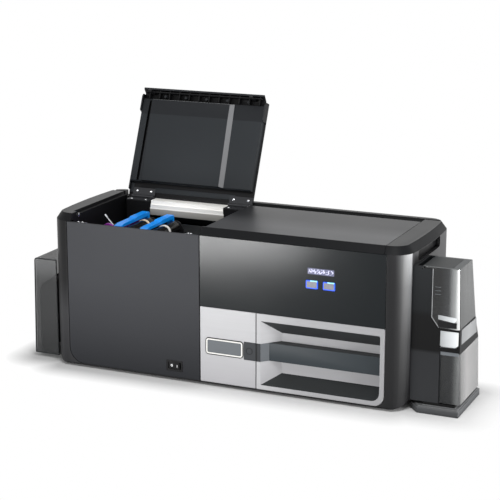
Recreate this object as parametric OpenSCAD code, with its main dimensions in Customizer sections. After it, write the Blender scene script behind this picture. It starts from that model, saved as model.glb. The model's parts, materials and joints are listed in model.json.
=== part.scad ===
// Desktop card printer with an in-line laminator, its laminator lid standing open.
// All lengths are millimetres, +Z is up, the front panels face -Y.
// The modules work from the upright seam between laminator and printer, at x = 0, y = 0 on the
// front panels, z = 0 on the table; place() then brings the origin under the middle of the part.

/* [Body] */
// Length of the laminator half, from the seam to the end of the left face
lam_len = 265; // [258:1:285]
// Length of the printer half, from the seam to the end of the right face
prt_len = 335; // [325:1:360]
// Depth from the front panels to the rear wall
body_d = 214; // [210:1:240]
// Height of the top face above the table
body_h = 250; // [246:1:262]
// How far each end face bulges at mid depth
end_bulge = 3; // [1:0.5:6]
// Radius of the upright corners, seen from above
corner_r = 31; // [24:1:36]
// Radius of the lower end corners, seen from the front
low_r = 26; // [16:1:30]
// How far the top face is set in from the walls
top_inset = 8.5; // [5:0.5:10]
// Height of the sloped band round the top
band_h = 11.5; // [9:0.5:14]
// Wall of the moulded casing
wall = 2.5; // [2:0.25:3]
// Gap at a seam between two covers
seam_gap = 0.75; // [0.4:0.05:1]
// Height of the rubber feet
foot_h = 4; // [3:0.5:5]
// Radius of the rubber feet
foot_r = 10; // [7:0.5:12]

/* [Front panels] */
// Thickness of the front panels
panel_t = 3; // [2:0.25:4]
// Height of the line between gloss panel and silver panels
split_z = 127; // [118:1:136]
// Width of the silver tile beside the seam
tile_w = 94; // [85:1:100]
// Lower corner radius of the laminator panel
panel_r = 25; // [14:1:28]

/* [Recess] */
// Width of the bright rim round the recess
rim_w = 7; // [5:0.5:9]
// Height of the upper rim of the recess
rim_top = 12; // [9:0.5:14]
// Depth of the recess
recess_d = 27; // [20:1:30]
// How far the left wall of the recess slants
recess_slant = 24; // [16:1:28]
// Drop of the recess ceiling from front to back
recess_drop = 23; // [14:1:26]
// Rise of the recess floor from front to back
recess_rise = 14; // [8:1:18]
// Outer corner radius of the recess rim
rim_r = 16; // [10:1:20]
// Lower edge of the accent bar above the table
bar_z0 = 50.5; // [46:0.5:54]
// Height of the accent bar
bar_h = 28.5; // [24:0.5:32]
// How far the accent bar sits behind the front
bar_y = 11; // [8:0.5:14]
// Start of the accent strip on the silver tile
strip_x = 74; // [64:1:80]

/* [Keys and display] */
// Left end of the display window
lcd_x = 177; // [165:1:185]
// Width of the display window
lcd_w = 42; // [34:1:46]
// Lower edge of the display window
lcd_z = 197; // [192:0.5:205]
// Height of the display window
lcd_h = 9.5; // [7:0.5:12]
// Width of a key
key_w = 19; // [14:0.5:21]
// Height of a key
key_h = 12.5; // [9:0.5:14]
// Distance between the middles of the two keys
key_pitch = 27; // [24:0.5:30]
// Lower edge of the keys
key_z = 175.2; // [172:0.2:180]
// Travel of a key
key_travel = 1; // [0.6:0.1:1.4]
// Clearance round a key
key_gap = 0.35; // [0.25:0.05:0.5]

/* [Power switch] */
// Left end of the switch frame, from the seam
sw_x = -58; // [-70:1:-52]
// Width of the switch frame
sw_w = 28; // [24:1:32]
// Lower edge of the switch frame
sw_z = 16; // [13:0.5:20]
// Height of the switch frame
sw_h = 17.5; // [15:0.5:20]
// Swing of the rocker between off and on
rocker_swing = 14; // [8:1:18]

/* [Lid] */
// Distance of the lid hinge from the rear wall
hinge_in = 28.5; // [27:0.5:34]
// Lean of the open lid past upright
lid_lean = 23; // [14:1:26]
// Thickness of the lid skin
skin_t = 2.5; // [2:0.25:3]
// Right edge of the lid, past the seam
lid_x1 = 5; // [3:0.5:7]
// How deep the inner liner hangs below the top face
liner_drop = 15; // [12:0.5:17]
// Width of a butt hinge leaf
leaf_w = 41; // [34:1:46]
// Thickness of a hinge leaf
leaf_t = 1.5; // [1.2:0.1:1.8]
// Outer radius of the hinge barrel
barrel_r = 3; // [2.6:0.1:3.2]
// Radius of the hinge pin
pin_r = 1.4; // [1.1:0.1:1.6]
// Running clearance of pins and shafts
run_gap = 0.05; // [0.02:0.01:0.09]
// Middle of the right hinge, from the seam
hinge_xr = -16; // [-22:1:-15]
// Middle of the left hinge, from the left end of the body
hinge_end = 72; // [69:1:79]

/* [Laminator] */
// Distance between the two cartridge handles
cart_pitch = 48; // [46:1:54]
// Middle of the right cartridge, from the left end of the body
cart_end = 145; // [139:1:153]
// Front end of the cartridges
cart_y0 = 42; // [34:1:48]
// Room behind the right cartridge, to the rear of the body
cart_rear = 68; // [66:1:76]
// How far the left cartridge sits behind the right one
cart_shift = 6; // [0:1:8]
// Top of the cartridge handles
handle_z = 230; // [226:0.5:232]
// Width of a handle
handle_w = 13; // [10:0.5:15]
// Radius of a full film roll
film_r = 10.5; // [8:0.5:10.8]
// Room in a cartridge in front of and behind the film, together
film_room = 24; // [22:1:32]
// Height of the steel side plates
plate_top = 196; // [190:1:200]
// Thickness of the steel plates
plate_t = 2; // [1.5:0.25:2.5]
// Radius of the heated roller
heat_r = 12; // [10:0.5:13]
// Teeth of the roller gears
gear_teeth = 18; // [16:1:22]

/* [Card path] */
// Height of the card path
path_z = 134; // [132:0.5:138]
// Middle of the card path, from the front
path_y = 72; // [69:1:78]
// Width of the rubber on the rollers
rubber_w = 56; // [50:1:60]
// Radius of the feed rollers
feed_r = 8; // [6:0.5:9]
// Radius of the roller shafts
shaft_r = 3; // [2.5:0.25:3.5]

/* [Input hopper] */
// How far the hopper stands out from the end of the body at the top
hop_w = 66; // [60:1:72]
// How much wider the hopper is at the foot
hop_flare = 7; // [3:0.5:10]
// Front of the hopper, from the front panels
hop_y = 24; // [20:1:28]
// Depth of the hopper at the top
hop_d = 66; // [62:1:70]
// How much deeper the hopper is at the foot
hop_slope = 32; // [20:1:36]
// Height of the hopper
hop_h = 221; // [214:1:224]
// Wall of the clear mouldings
clear_t = 2.2; // [1.8:0.1:2.6]
// Height of the hopper base plate
hop_base_h = 10; // [8:0.5:12]

/* [Output hopper] */
// How far the output hopper stands out from the left face
out_w = 44; // [38:1:50]
// Height of the output hopper
out_h = 167; // [150:1:175]
// Depth of the output hopper
out_d = 70; // [66:1:76]

/* [Hidden] */
$fn = 32;

// outer limits of the body, from the seam
x_l = -lam_len + end_bulge;
x_r = prt_len - end_bulge;
flat_l = x_l + corner_r;
flat_r = x_r - corner_r;
band_z = body_h - band_h;
base_z = foot_h + wall;
panel_z0 = base_z + 0.3;
panel_x1 = flat_r - 2;
cap_w = corner_r + top_inset;
cap_l = x_l + cap_w - end_bulge;
cap_r = x_r - cap_w + end_bulge;
// rear ledge, rear edge of the printer cover and the lid hinge
ledge_y = body_d - 19.5;
cover_y1 = ledge_y - 13.5;
hinge_y = body_d - hinge_in;
hinge_xl = -lam_len + hinge_end;
hinge_z = body_h - skin_t - barrel_r + 0.3;
leaf_lo = hinge_z - barrel_r + 0.3;
leaf_hi = hinge_z + barrel_r - 0.3 - leaf_t;
lid_x0 = cap_l + 4;
rim_step = 6;
step_drop = 5;
rim_end = ledge_y + 12;
rib_count = 12;
rib_inset = 12;
rib_t = 1.6;
rib_pitch = (lid_x1 - lid_x0 - 2 * rib_inset - rib_t) / (rib_count - 1);
open_a = 90 + lid_lean;
// rocker switch
rocker_y = 5.5;
rocker_w = sw_w / 2 - 3.9;
rocker_front = rocker_y - rocker_w * sin(rocker_swing / 2) - 6.2 * cos(rocker_swing / 2);
// limits of the whole part, with the lid open
out_x0 = -lam_len - out_w;
hop_x1 = prt_len + hop_w + hop_flare;
lid_y1 = hinge_y + (hinge_y - 0.6 - top_inset) * sin(lid_lean) + (body_h - 0.4 - hinge_z) * cos(lid_lean);
x_mid = (out_x0 + hop_x1) / 2;
y_mid = (lid_y1 + rocker_front) / 2;
// steel inside
cart_x = -lam_len + cart_end;
cart_len = body_d - cart_rear - cart_y0;
film_w = cart_len - film_room;
chassis_y = body_d - 32;
mount_z = band_z - 33.3;
shelf_y = hinge_y - 20.5;
frame_gap = 12;
slot_half = 30;
grip_z = band_z - 16.5;
screw_x = 13;
lam_x0 = flat_l + frame_gap;
lam_x1 = -frame_gap;
plate_y0 = 22;
plate_y1 = cart_y0 + cart_shift + cart_len + 4;
heat_x = cart_x - cart_pitch / 2;
gear_pitch_r = heat_r + 0.15;
gear_y = plate_y1 + plate_t + 2;
gear_w = 6;
spool_x = 11.4;
spool_z = handle_z - 18.5;
lever_x = cart_x - cart_pitch - 27;
lever_y = 90;
lever_z = spool_z + 1.5;
lever_len = 25;
lever_a = 43;
platen_x = 190;
feed_x = 60;
roller_z = path_z - feed_r - 0.5;
ribbon_x0 = platen_x - 40;
ribbon_x1 = platen_x + 45;
ribbon_z = path_z + 40;
// hinges of the printer cover
cover_hinge_y = cover_y1 + 3;
cover_hinge_z = body_h - 9;
arm_x = [24, cap_r - 38];
inlet_x = -200;
port_x = [-150, -122];
// right hopper
hop_z0 = hop_base_h + 6;
hop_in = prt_len - 9;
hop_wall_x = prt_len + 2.6;
side_x = prt_len + 25;
door_x = side_x + 15;
door_r = 2.2;
door_ax = door_x + door_r + 0.4;
door_ay = hop_y + door_r + 0.2;
weight_z = 143;
guide_y = hop_y + 34;
seam_z = 131;
band_lo = 95;
hop_ax = prt_len + 11;
hop_az = hop_h - 2.4;

module place() {
    translate([-x_mid, -y_mid, 0]) children();
}

// box between two corners
module block(x0, x1, y0, y1, z0, z1) {
    translate([x0, y0, z0]) cube([x1 - x0, y1 - y0, z1 - z0]);
}

// a Y-Z outline drawn out along X
module along_x(x0, x1) {
    translate([x0, 0, 0]) rotate([90, 0, 90]) linear_extrude(x1 - x0) children();
}

// an X-Z outline drawn out along Y
module along_y(y0, y1) {
    translate([0, y1, 0]) rotate([90, 0, 0]) linear_extrude(y1 - y0) children();
}

// round bar along Y
module rod_y(x, z, y0, y1, r) {
    translate([x, y0, z]) rotate([-90, 0, 0]) cylinder(h = y1 - y0, r = r);
}

// round bar along X
module rod_x(x0, x1, y, z, r) {
    translate([x0, y, z]) rotate([0, 90, 0]) cylinder(h = x1 - x0, r = r);
}

// points of an arc round (cx, cy)
function arc(cx, cy, r, a0, a1, n = 8) =
    [for (i = [0:n]) let(a = a0 + (a1 - a0) * i / n) [cx + r * cos(a), cy + r * sin(a)]];

// rectangle with four corner radii, from lower left round to upper left
function round_rect(x0, x1, y0, y1, ra, rb, rc, rd) = concat(
    arc(x0 + ra, y0 + ra, ra, 180, 270), arc(x1 - rb, y0 + rb, rb, 270, 360),
    arc(x1 - rc, y1 - rc, rc, 0, 90), arc(x0 + rd, y1 - rd, rd, 90, 180));

// the bulge of an end face between two corners
function bulge(x, out, y0, y1, n = 10) =
    [for (i = [1:n - 1]) let(u = 2 * i / n - 1) [x + out * (1 - u * u), y0 + (y1 - y0) * i / n]];

// plan of the body, set in by g all round
function plan(g) = let(r = corner_r - g, a = x_l + g, b = x_r - g, c = g, d = body_d - g) concat(
    arc(b - r, c + r, r, -90, 0), bulge(b, end_bulge, c + r, d - r),
    arc(b - r, d - r, r, 0, 90), arc(a + r, d - r, r, 90, 180),
    [for (i = [9:-1:1]) let(u = 2 * i / 10 - 1)
        [a - end_bulge * (1 - u * u), c + r + (d - c - 2 * r) * i / 10]],
    arc(a + r, c + r, r, 180, 270));

// front view of the body, set in by g
module front_view(g) {
    polygon(round_rect(-lam_len + g, prt_len - g, foot_h + g, body_h + 1, low_r - g, low_r - g, 1, 1));
}

// the body's outer form between two heights, set in by g
module body_form(g, z0, z1) {
    intersection() {
        translate([0, 0, z0]) linear_extrude(z1 - z0) polygon(plan(g));
        along_y(-1, body_d + 1) front_view(g);
    }
}

// upright wall of the body between two heights
module body_wall(z0, z1) {
    difference() {
        body_form(0, z0, z1);
        body_form(wall, z0 - 1, z1 + 1);
    }
}

// outline of the laminator front panel, grown by g
module lam_panel_view(g) {
    polygon(round_rect(flat_l - g, -seam_gap, panel_z0 - g, band_z - 0.5, panel_r + g, 1, 1, 1));
}

// outline of the recess rim
module bezel_view() {
    polygon(round_rect(tile_w + seam_gap, panel_x1, panel_z0, split_z - seam_gap / 2, 1, rim_r, 2, 1));
}

// end cap of the top between two values of x
module cap_form(x0, x1) {
    hull()
        for (s = [[band_z, 0], [body_h - 1.2, top_inset - 1.2], [body_h - 0.01, top_inset]])
            translate([0, 0, s[0]]) linear_extrude(0.01) intersection() {
                polygon(plan(s[1]));
                translate([x0, -1]) square([x1 - x0, ledge_y + 1]);
            }
}

module base_tray() place() color("#2b2c2e") {
    difference() {
        union() {
            intersection() {
                body_form(0, foot_h, base_z);
                block(-lam_len + low_r, prt_len - low_r, 1, body_d - 1, 0, 20);
            }
            // upstand that the covers locate on
            block(flat_l + 6, flat_r - 6, panel_t + 1.5, body_d - wall - 1, foot_h, base_z + 1);
        }
        block(flat_l + 9, flat_r - 9, panel_t + 4.5, body_d - wall - 4, base_z, 60);
        // cooling slots in the floor
        for (i = [0:9])
            block(90 + i * 14, 96 + i * 14, 60, 150, 0, 30);
    }
}

module rubber_feet() place() color("#151515")
    for (x = [-lam_len + 55, -20, prt_len - 60], y = [30, body_d - 30])
        translate([x, y, 0]) rotate_extrude()
            polygon([[0, 0], [foot_r - 1, 0], [foot_r, 1], [foot_r, foot_h], [0, foot_h]]);

module left_end_shell() place() color("#6c6e70") difference() {
    union() {
        difference() {
            body_wall(foot_h, band_z);
            // room for the base tray, the front panel, the printer half and the rear cover
            block(-lam_len + low_r, prt_len + 1, -1, body_d + 1, 0, base_z + 0.1);
            along_y(-1, wall + 1) polygon(round_rect(flat_l - seam_gap, prt_len, panel_z0 - seam_gap,
                body_h + 5, panel_r + seam_gap, 1, 1, 1));
            block(flat_l + 45, prt_len + 1, -1, body_d + 1, 0, body_h);
            block(-lam_len - 1, prt_len, ledge_y - 4, body_d + 1, 0, body_h);
        }
        // rim of the top, hollow below
        difference() {
            cap_form(-lam_len - 1, cap_l);
            intersection() {
                block(-lam_len + 9, cap_l - rim_step - wall, 12, ledge_y - 12, 0, body_h - wall);
                linear_extrude(body_h) polygon(plan(top_inset + wall));
            }
            // step beside the closed lid
            block(cap_l - rim_step, cap_l + 1, 22, ledge_y, body_h - step_drop, body_h + 1);
            block(-lam_len - 1, cap_l + 1, ledge_y - 4, body_d, 0, body_h + 1);
        }
        // inner wall of the rim
        block(cap_l - wall, cap_l, 12, ledge_y - 12, plate_top + 8, band_z + 1);
    }
    // card exit
    block(-lam_len - 5, -lam_len + 20, path_y - slot_half, path_y + slot_half, path_z - 6, path_z + 8);
}

module right_end_shell() place() color("#5c5e61") difference() {
    union() {
        difference() {
            body_wall(foot_h, band_z);
            block(-lam_len - 1, prt_len - low_r, -1, body_d + 1, 0, base_z + 0.1);
            along_y(-1, wall + 1) polygon(round_rect(-lam_len, panel_x1 + seam_gap, panel_z0 - seam_gap,
                body_h + 5, 1, rim_r + seam_gap, 1, 1));
            block(-lam_len - 1, flat_r - 45, -1, body_d + 1, 0, body_h);
            block(-lam_len, prt_len + 1, ledge_y - 4, body_d + 1, 0, body_h);
        }
        difference() {
            cap_form(cap_r, prt_len + 1);
            intersection() {
                block(cap_r + wall, prt_len - 9, 12, ledge_y - 12, 0, body_h - wall);
                linear_extrude(body_h) polygon(plan(top_inset + wall));
            }
            block(cap_r - 1, prt_len + 1, ledge_y - 4, body_d, 0, body_h + 1);
        }
        // back of the grip slot
        block(prt_len - 11, prt_len - 3.6, 41, 149, grip_z - 4, band_z + 1);
    }
    // grip slot under the top band
    translate([prt_len - 8, 0, 0]) along_x(0, 20)
        polygon(round_rect(44, 146, grip_z, band_z - 0.4, 5, 5, 3, 3));
    // card entry
    block(prt_len - 20, prt_len + 5, path_y - slot_half, path_y + slot_half, path_z - 6, path_z + 8);
}

module rear_cover() place() color("#3b3c3f") difference() {
    union() {
        difference() {
            body_wall(foot_h, band_z);
            block(-lam_len + low_r, prt_len - low_r, -1, body_d + 1, 0, base_z + 0.1);
            block(-lam_len - 1, prt_len + 1, -1, ledge_y - 4 + seam_gap, 0, body_h);
        }
        // ledge behind the lid and the cover, hollow below
        difference() {
            hull()
                for (s = [[band_z, 0, ledge_y], [body_h - 0.01, top_inset, ledge_y + 1.5]])
                    translate([0, 0, s[0]]) linear_extrude(0.01) intersection() {
                        polygon(plan(s[1]));
                        translate([-lam_len, s[2]]) square([lam_len + prt_len, 60]);
                    }
            block(lid_x0 + wall, cap_r, ledge_y + wall + 1, body_d - top_inset - wall, 0, body_h - wall);
            // the ledge is low on the left of the lid
            block(cap_l - rim_step, lid_x0, ledge_y - 1, body_d + 1, band_z + wall, body_h + 1);
            block(-lam_len - 1, lid_x0, rim_end, body_d + 1, band_z + wall, body_h + 1);
        }
        block(cap_l, cap_r, ledge_y, ledge_y + wall + 1, band_z - 34, band_z + 1);
    }
    // cooling slots
    for (i = [0:13])
        block(60 + i * 15, 67 + i * 15, body_d - wall - 1, body_d + 1, 120, 180);
    // cut-outs for the inlet and the ports
    block(inlet_x - 14, inlet_x + 14, body_d - wall - 2, body_d + 1, 30, 54);
    for (x = port_x)
        block(x - 8, x + 8, body_d - wall - 2, body_d + 1, 34, 48);
}

// housing with a rectangular socket facing the rear
module socket(x, half, z0, z1, rim, tongue) {
    y1 = body_d - 0.4;
    difference() {
        block(x - half, x + half, y1 - 16, y1, z0, z1);
        block(x - half + rim, x + half - rim, y1 - 12, y1 + 1, z0 + rim, z1 - rim);
    }
    for (t = tongue)
        block(x + t[0], x + t[1], y1 - 12, y1 - 3, t[2], t[3]);
}

module power_inlet() place() color("#0f1012") socket(inlet_x, 13.9, 30.1, 53.9, 3,
    [[-6, -4.4, 38, 43], [4.4, 6, 38, 43], [-0.8, 0.8, 43, 48]]);

module data_ports() place() color("#b9bcc0")
    for (x = port_x)
        socket(x, 7.9, 34.1, 47.9, 2.2, [[-3.4, 3.4, 39.5, 43]]);

module laminator_front_panel() place() color("#47484c")
    difference() {
        along_y(0, panel_t) lam_panel_view(0);
        block(sw_x + 1.5, sw_x + sw_w - 1.5, -1, panel_t + 1, sw_z + 1.5, sw_z + sw_h - 1.5);
    }

module printer_front_panel() place() color("#26282b") difference() {
    along_y(0, panel_t) polygon(round_rect(seam_gap, panel_x1, split_z + seam_gap / 2, band_z - 0.5,
        1, 1, 1, 1));
    along_y(-1, panel_t + 1) polygon(round_rect(lcd_x, lcd_x + lcd_w, lcd_z, lcd_z + lcd_h, 1, 1, 1, 1));
    for (i = [0, 1])
        along_y(-1, panel_t + 1) key_view(i, key_gap);
}

// outline of key i, grown by g
module key_view(i, g) {
    x0 = lcd_x - 2.3 + i * key_pitch;
    polygon(round_rect(x0 - g, x0 + key_w + g, key_z - g, key_z + key_h + g, 1.5, 1.5, 1.5, 1.5));
}

// a key with its flange behind the panel and a crowned face
module key_body(i) {
    x0 = lcd_x - 2.3 + i * key_pitch;
    along_y(-key_travel, panel_t + 0.2) key_view(i, 0);
    along_y(panel_t + key_travel * 0.2, panel_t + key_travel + 1.4) key_view(i, 1.2);
    rod_y(x0 + key_w / 2, key_z + key_h / 2, panel_t, panel_t + 5, 2);
}

module key_left() place() color("#8d9aa8") key_body(0);

module key_right() place() color("#8d9aa8") key_body(1);

module display_lens() place() color("#b4b6d2")
    along_y(0.4, panel_t) polygon(round_rect(lcd_x + 0.05, lcd_x + lcd_w - 0.05, lcd_z + 0.05,
        lcd_z + lcd_h - 0.05, 1, 1, 1, 1));

module display_module() place() color("#2f6b45") {
    block(lcd_x - 6, lcd_x + lcd_w + 8, panel_t + 7.4, panel_t + 9, key_z - 6, lcd_z + lcd_h + 5);
    block(lcd_x - 1, lcd_x + lcd_w + 1, panel_t, panel_t + 7.4, lcd_z - 1, lcd_z + lcd_h + 1);
    // standoffs to the panel
    for (x = [lcd_x - 4.5, lcd_x + lcd_w + 6])
        rod_y(x, lcd_z - 4, panel_t, panel_t + 7.4, 1.4);
}

module badge_tile() place() color("#cbccd0") difference() {
    along_y(0, panel_t) polygon(round_rect(seam_gap, tile_w, panel_z0, split_z - seam_gap / 2, 1, 1, 1, 1));
    block(strip_x - 0.1, tile_w + 1, -1, 1.2, bar_z0 - 0.1, bar_z0 + bar_h + 0.1);
}

// wedge of space inside the recess, grown by g
module recess_form(g) {
    x0 = tile_w + seam_gap + rim_w;
    x1 = panel_x1 - rim_w;
    z0 = panel_z0 + rim_w;
    z1 = split_z - rim_top;
    hull() {
        along_y(-0.01, 0) offset(g) polygon(round_rect(x0, x1, z0, z1, 1, rim_r - 3, 3, 1));
        along_y(recess_d + g - 0.01, recess_d + g) offset(g)
            polygon(round_rect(x0 + recess_slant, x1, z0 + recess_rise, z1 - recess_drop, 1, 3, 1, 1));
    }
}

module output_bezel() place() color("#cfd0d3") difference() {
    union() {
        along_y(0, panel_t) bezel_view();
        recess_form(2);
    }
    translate([0, -0.02, 0]) recess_form(0);
    block(tile_w - 1, flat_r, -10, 0, 0, body_h);
    accent_form(0.1);
}

// plan of the accent bar, grown by g towards the silver
module accent_form(g) {
    x0 = tile_w + seam_gap + rim_w;
    x1 = panel_x1 - rim_w;
    back = recess_d - 0.1;
    slant = recess_slant / recess_d;
    translate([0, 0, bar_z0 - g]) linear_extrude(bar_h + 2 * g) polygon([
        [strip_x, 0], [x0, 0], [x0 + bar_y * slant, bar_y], [x1 - 0.3 + g, bar_y],
        [x1 - 0.3 + g, back + g], [x0 + recess_slant - 0.3, back + g],
        [x0 + bar_y * slant - 0.3, bar_y + 1.1 + g],
        [x0 - 0.5, 1.1 + g], [strip_x, 1.1 + g]]);
}

module accent_bar() place() color("#424448") accent_form(0);

module switch_frame() place() color("#101113") difference() {
    union() {
        along_y(-0.6, 0) polygon(round_rect(sw_x, sw_x + sw_w, sw_z, sw_z + sw_h, 1, 1, 1, 1));
        block(sw_x + 1.55, sw_x + sw_w - 1.55, 0, 14, sw_z + 1.55, sw_z + sw_h - 1.55);
    }
    block(sw_x + 3, sw_x + sw_w - 3, -2, 10, sw_z + 3, sw_z + sw_h - 3);
    translate([sw_x + sw_w / 2, rocker_y, sw_z]) cylinder(h = sw_h - 1.9, r = 1.2);
}

module power_rocker() place() color("#1b1c1f")
    translate([sw_x + sw_w / 2, rocker_y, 0]) rotate([0, 0, -rocker_swing / 2]) {
        w = rocker_w;
        translate([0, 0, sw_z + 3.3]) linear_extrude(sw_h - 6.6)
            polygon([[-w, -6.2], [-w * 0.5, -5.5], [0, -5.2], [w * 0.5, -5.5], [w, -6.2], [w, -3.4],
                [3, 2.2], [-3, 2.2], [-w, -3.4]]);
        // trunnions
        for (z = [sw_z + 1.8, sw_z + sw_h - 4.2])
            translate([0, 0, z]) cylinder(h = 2, r = 1.2 - run_gap);
    }

// steel floor with its rear upright
module chassis_tray() place() color("#8d9093") difference() {
    union() {
        block(flat_l + frame_gap, flat_r - frame_gap, 12, chassis_y, base_z, base_z + plate_t);
        block(flat_l + frame_gap, flat_r - frame_gap, chassis_y - plate_t, chassis_y, base_z, mount_z);
    }
    for (i = [0:9])
        block(90 + i * 14, 96 + i * 14, 60, 150, 0, 30);
    for (i = [0:6])
        block(60 + i * 30, 74 + i * 30, chassis_y - 5, chassis_y + 5, 120, 180);
}

module bay_divider() place() color("#17181a") difference() {
    block(-7, -4, panel_t + 0.3, plate_y1 + plate_t + 3, base_z + plate_t, band_z - 8);
    block(-8, -3, path_y - 32, path_y + 32, path_z - 8, path_z + 10);
    block(-8, -3, 100, 150, 20, 90);
}

// steel plate that carries the rollers, with round holes for the shafts
module side_plate(x0, x1, y0, top, shafts) {
    difference() {
        block(x0, x1, y0, y0 + plate_t, base_z + plate_t, top);
        for (s = shafts)
            rod_y(s[0], s[1], y0 - 1, y0 + plate_t + 1, s[2] + run_gap);
        along_y(y0 - 1, y0 + plate_t + 1)
            polygon(round_rect(x0 + 25, x1 - 25, 25, 95, 8, 8, 8, 8));
    }
}

module laminator_frame() place() color("#2a2b2e") {
    for (y = [plate_y0, plate_y1])
        side_plate(lam_x0, lam_x1, y, plate_top, [for (s = [1, -1])
            [heat_x, path_z + s * gear_pitch_r, shaft_r]]);
    // cross rail with the ears of the release lever
    block(lever_x - 9, lever_x + 2.5, plate_y0 + plate_t, plate_y1, plate_top - 3, plate_top);
    for (s = [-1, 1])
        difference() {
            block(lever_x - 4, lever_x + 2.5, lever_y + s * 4.7 - 1.3, lever_y + s * 4.7 + 1.3, plate_top,
                lever_z + 4);
            rod_y(lever_x, lever_z, lever_y + s * 4.7 - 2, lever_y + s * 4.7 + 2, 1.5 + run_gap);
        }
}

module release_lever() place() color("#6d7276") {
    rod_y(lever_x, lever_z, lever_y - 6.2, lever_y + 6.2, 1.5);
    rod_y(lever_x, lever_z, lever_y - 3, lever_y + 3, 3.4);
    translate([lever_x, lever_y, lever_z]) rotate([0, -lever_a, 0]) {
        cylinder(h = lever_len, r = 1.6);
        translate([0, 0, lever_len - 5]) cylinder(h = 6, r = 2.4);
    }
}

module printer_frame() place() color("#8f9295")
    for (y = [recess_d + 8, plate_y1])
        side_plate(frame_gap, flat_r - frame_gap - 2, y, plate_top,
            [[platen_x, roller_z, shaft_r], [feed_x, roller_z, shaft_r],
            [ribbon_x0, ribbon_z, shaft_r], [ribbon_x1, ribbon_z, shaft_r]]);

module chassis_bar() place() color("#d9d4cb") {
    x0 = hinge_xl + leaf_w / 2 + 4.2;
    x1 = hinge_xr - leaf_w / 2;
    top = band_z - 0.5;
    bar_t = 1.5;
    bar_drop = 15;
    block(x0, x1, shelf_y, hinge_y + 0.5, top - bar_t, top);
    block(x0, x1, shelf_y, shelf_y + bar_t, top - bar_drop, top);
    block(x0, x1, shelf_y + bar_t, shelf_y + 6, top - bar_drop, top - bar_drop + bar_t);
}

module hinge_mounts() place() color("#202124")
    for (x = [[hinge_xl - leaf_w / 2 + 0.2, hinge_xl + leaf_w / 2 + 4, hinge_xl],
        [hinge_xr - leaf_w / 2 + 0.2, seam_gap + 0.5, hinge_xr]])
        difference() {
            along_x(x[0], x[1]) polygon([[shelf_y, leaf_lo], [shelf_y, mount_z + 2.8],
                [shelf_y + 7, mount_z - 15.2], [chassis_y - plate_t, mount_z - 15.2],
                [chassis_y - plate_t, mount_z], [hinge_y + 5, mount_z], [hinge_y + 5, leaf_lo - 4.5],
                [hinge_y + 3, leaf_lo - 1.2], [hinge_y - 4, leaf_lo - 1.2], [hinge_y - 4, leaf_lo]]);
            for (s = [-1, 1])
                translate([x[2] + s * screw_x, hinge_y - 14.5, leaf_lo - 8]) cylinder(h = 9, r = 1.5);
        }

// leaf of a butt hinge with its knuckles on the hinge line
module leaf(x, y0, z0, lower) {
    k = leaf_w / 5;
    block(x - leaf_w / 2, x + leaf_w / 2, y0, hinge_y - barrel_r - 0.4, z0, z0 + leaf_t);
    for (i = [0:4])
        if ((i % 2 == 0) == lower)
            translate([x - leaf_w / 2 + i * k + 0.1, 0, 0]) difference() {
                union() {
                    rod_x(0, k - 0.2, hinge_y, hinge_z, barrel_r);
                    block(0, k - 0.2, hinge_y - barrel_r - 0.5, hinge_y - 1, z0, z0 + leaf_t);
                }
                rod_x(-1, k + 1, hinge_y, hinge_z, pin_r + (lower ? 0.01 : run_gap));
            }
}

module hinge_lower_leaves() place() color("#1c1d20")
    for (x = [hinge_xl, hinge_xr])
        difference() {
            leaf(x, hinge_y - 19.5, leaf_lo, true);
            for (s = [-1, 1])
                translate([x + s * screw_x, hinge_y - 14.5, leaf_lo - 1]) cylinder(h = 4, r = 1.5);
        }

module hinge_pins() place() color("#c9cbcf")
    for (x = [hinge_xl, hinge_xr])
        rod_x(x - leaf_w / 2, x + leaf_w / 2, hinge_y, hinge_z, pin_r);

// pan head screw with a cross recess, pointing down
module screw(r, len) {
    difference() {
        union() {
            translate([0, 0, -len]) cylinder(h = len, r = r);
            rotate_extrude() polygon([[0, 0], [r + 0.9, 0], [r + 0.8, 0.5], [r, 0.9], [0, 1]]);
        }
        for (a = [0, 90])
            rotate([0, 0, a]) translate([-r * 0.7, -0.25, 0.5]) cube([r * 1.4, 0.5, 1]);
    }
}

module lower_hinge_screws() place() color("#e4e5e8")
    for (x = [hinge_xl, hinge_xr], s = [-1, 1])
        translate([x + s * screw_x, hinge_y - 14.5, leaf_lo + leaf_t]) screw(1.45, 7);

// turns the closed lid about the hinge line to its open pose
module opened() {
    translate([0, hinge_y, hinge_z]) rotate([-open_a, 0, 0]) translate([0, -hinge_y, -hinge_z]) children();
}

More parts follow.
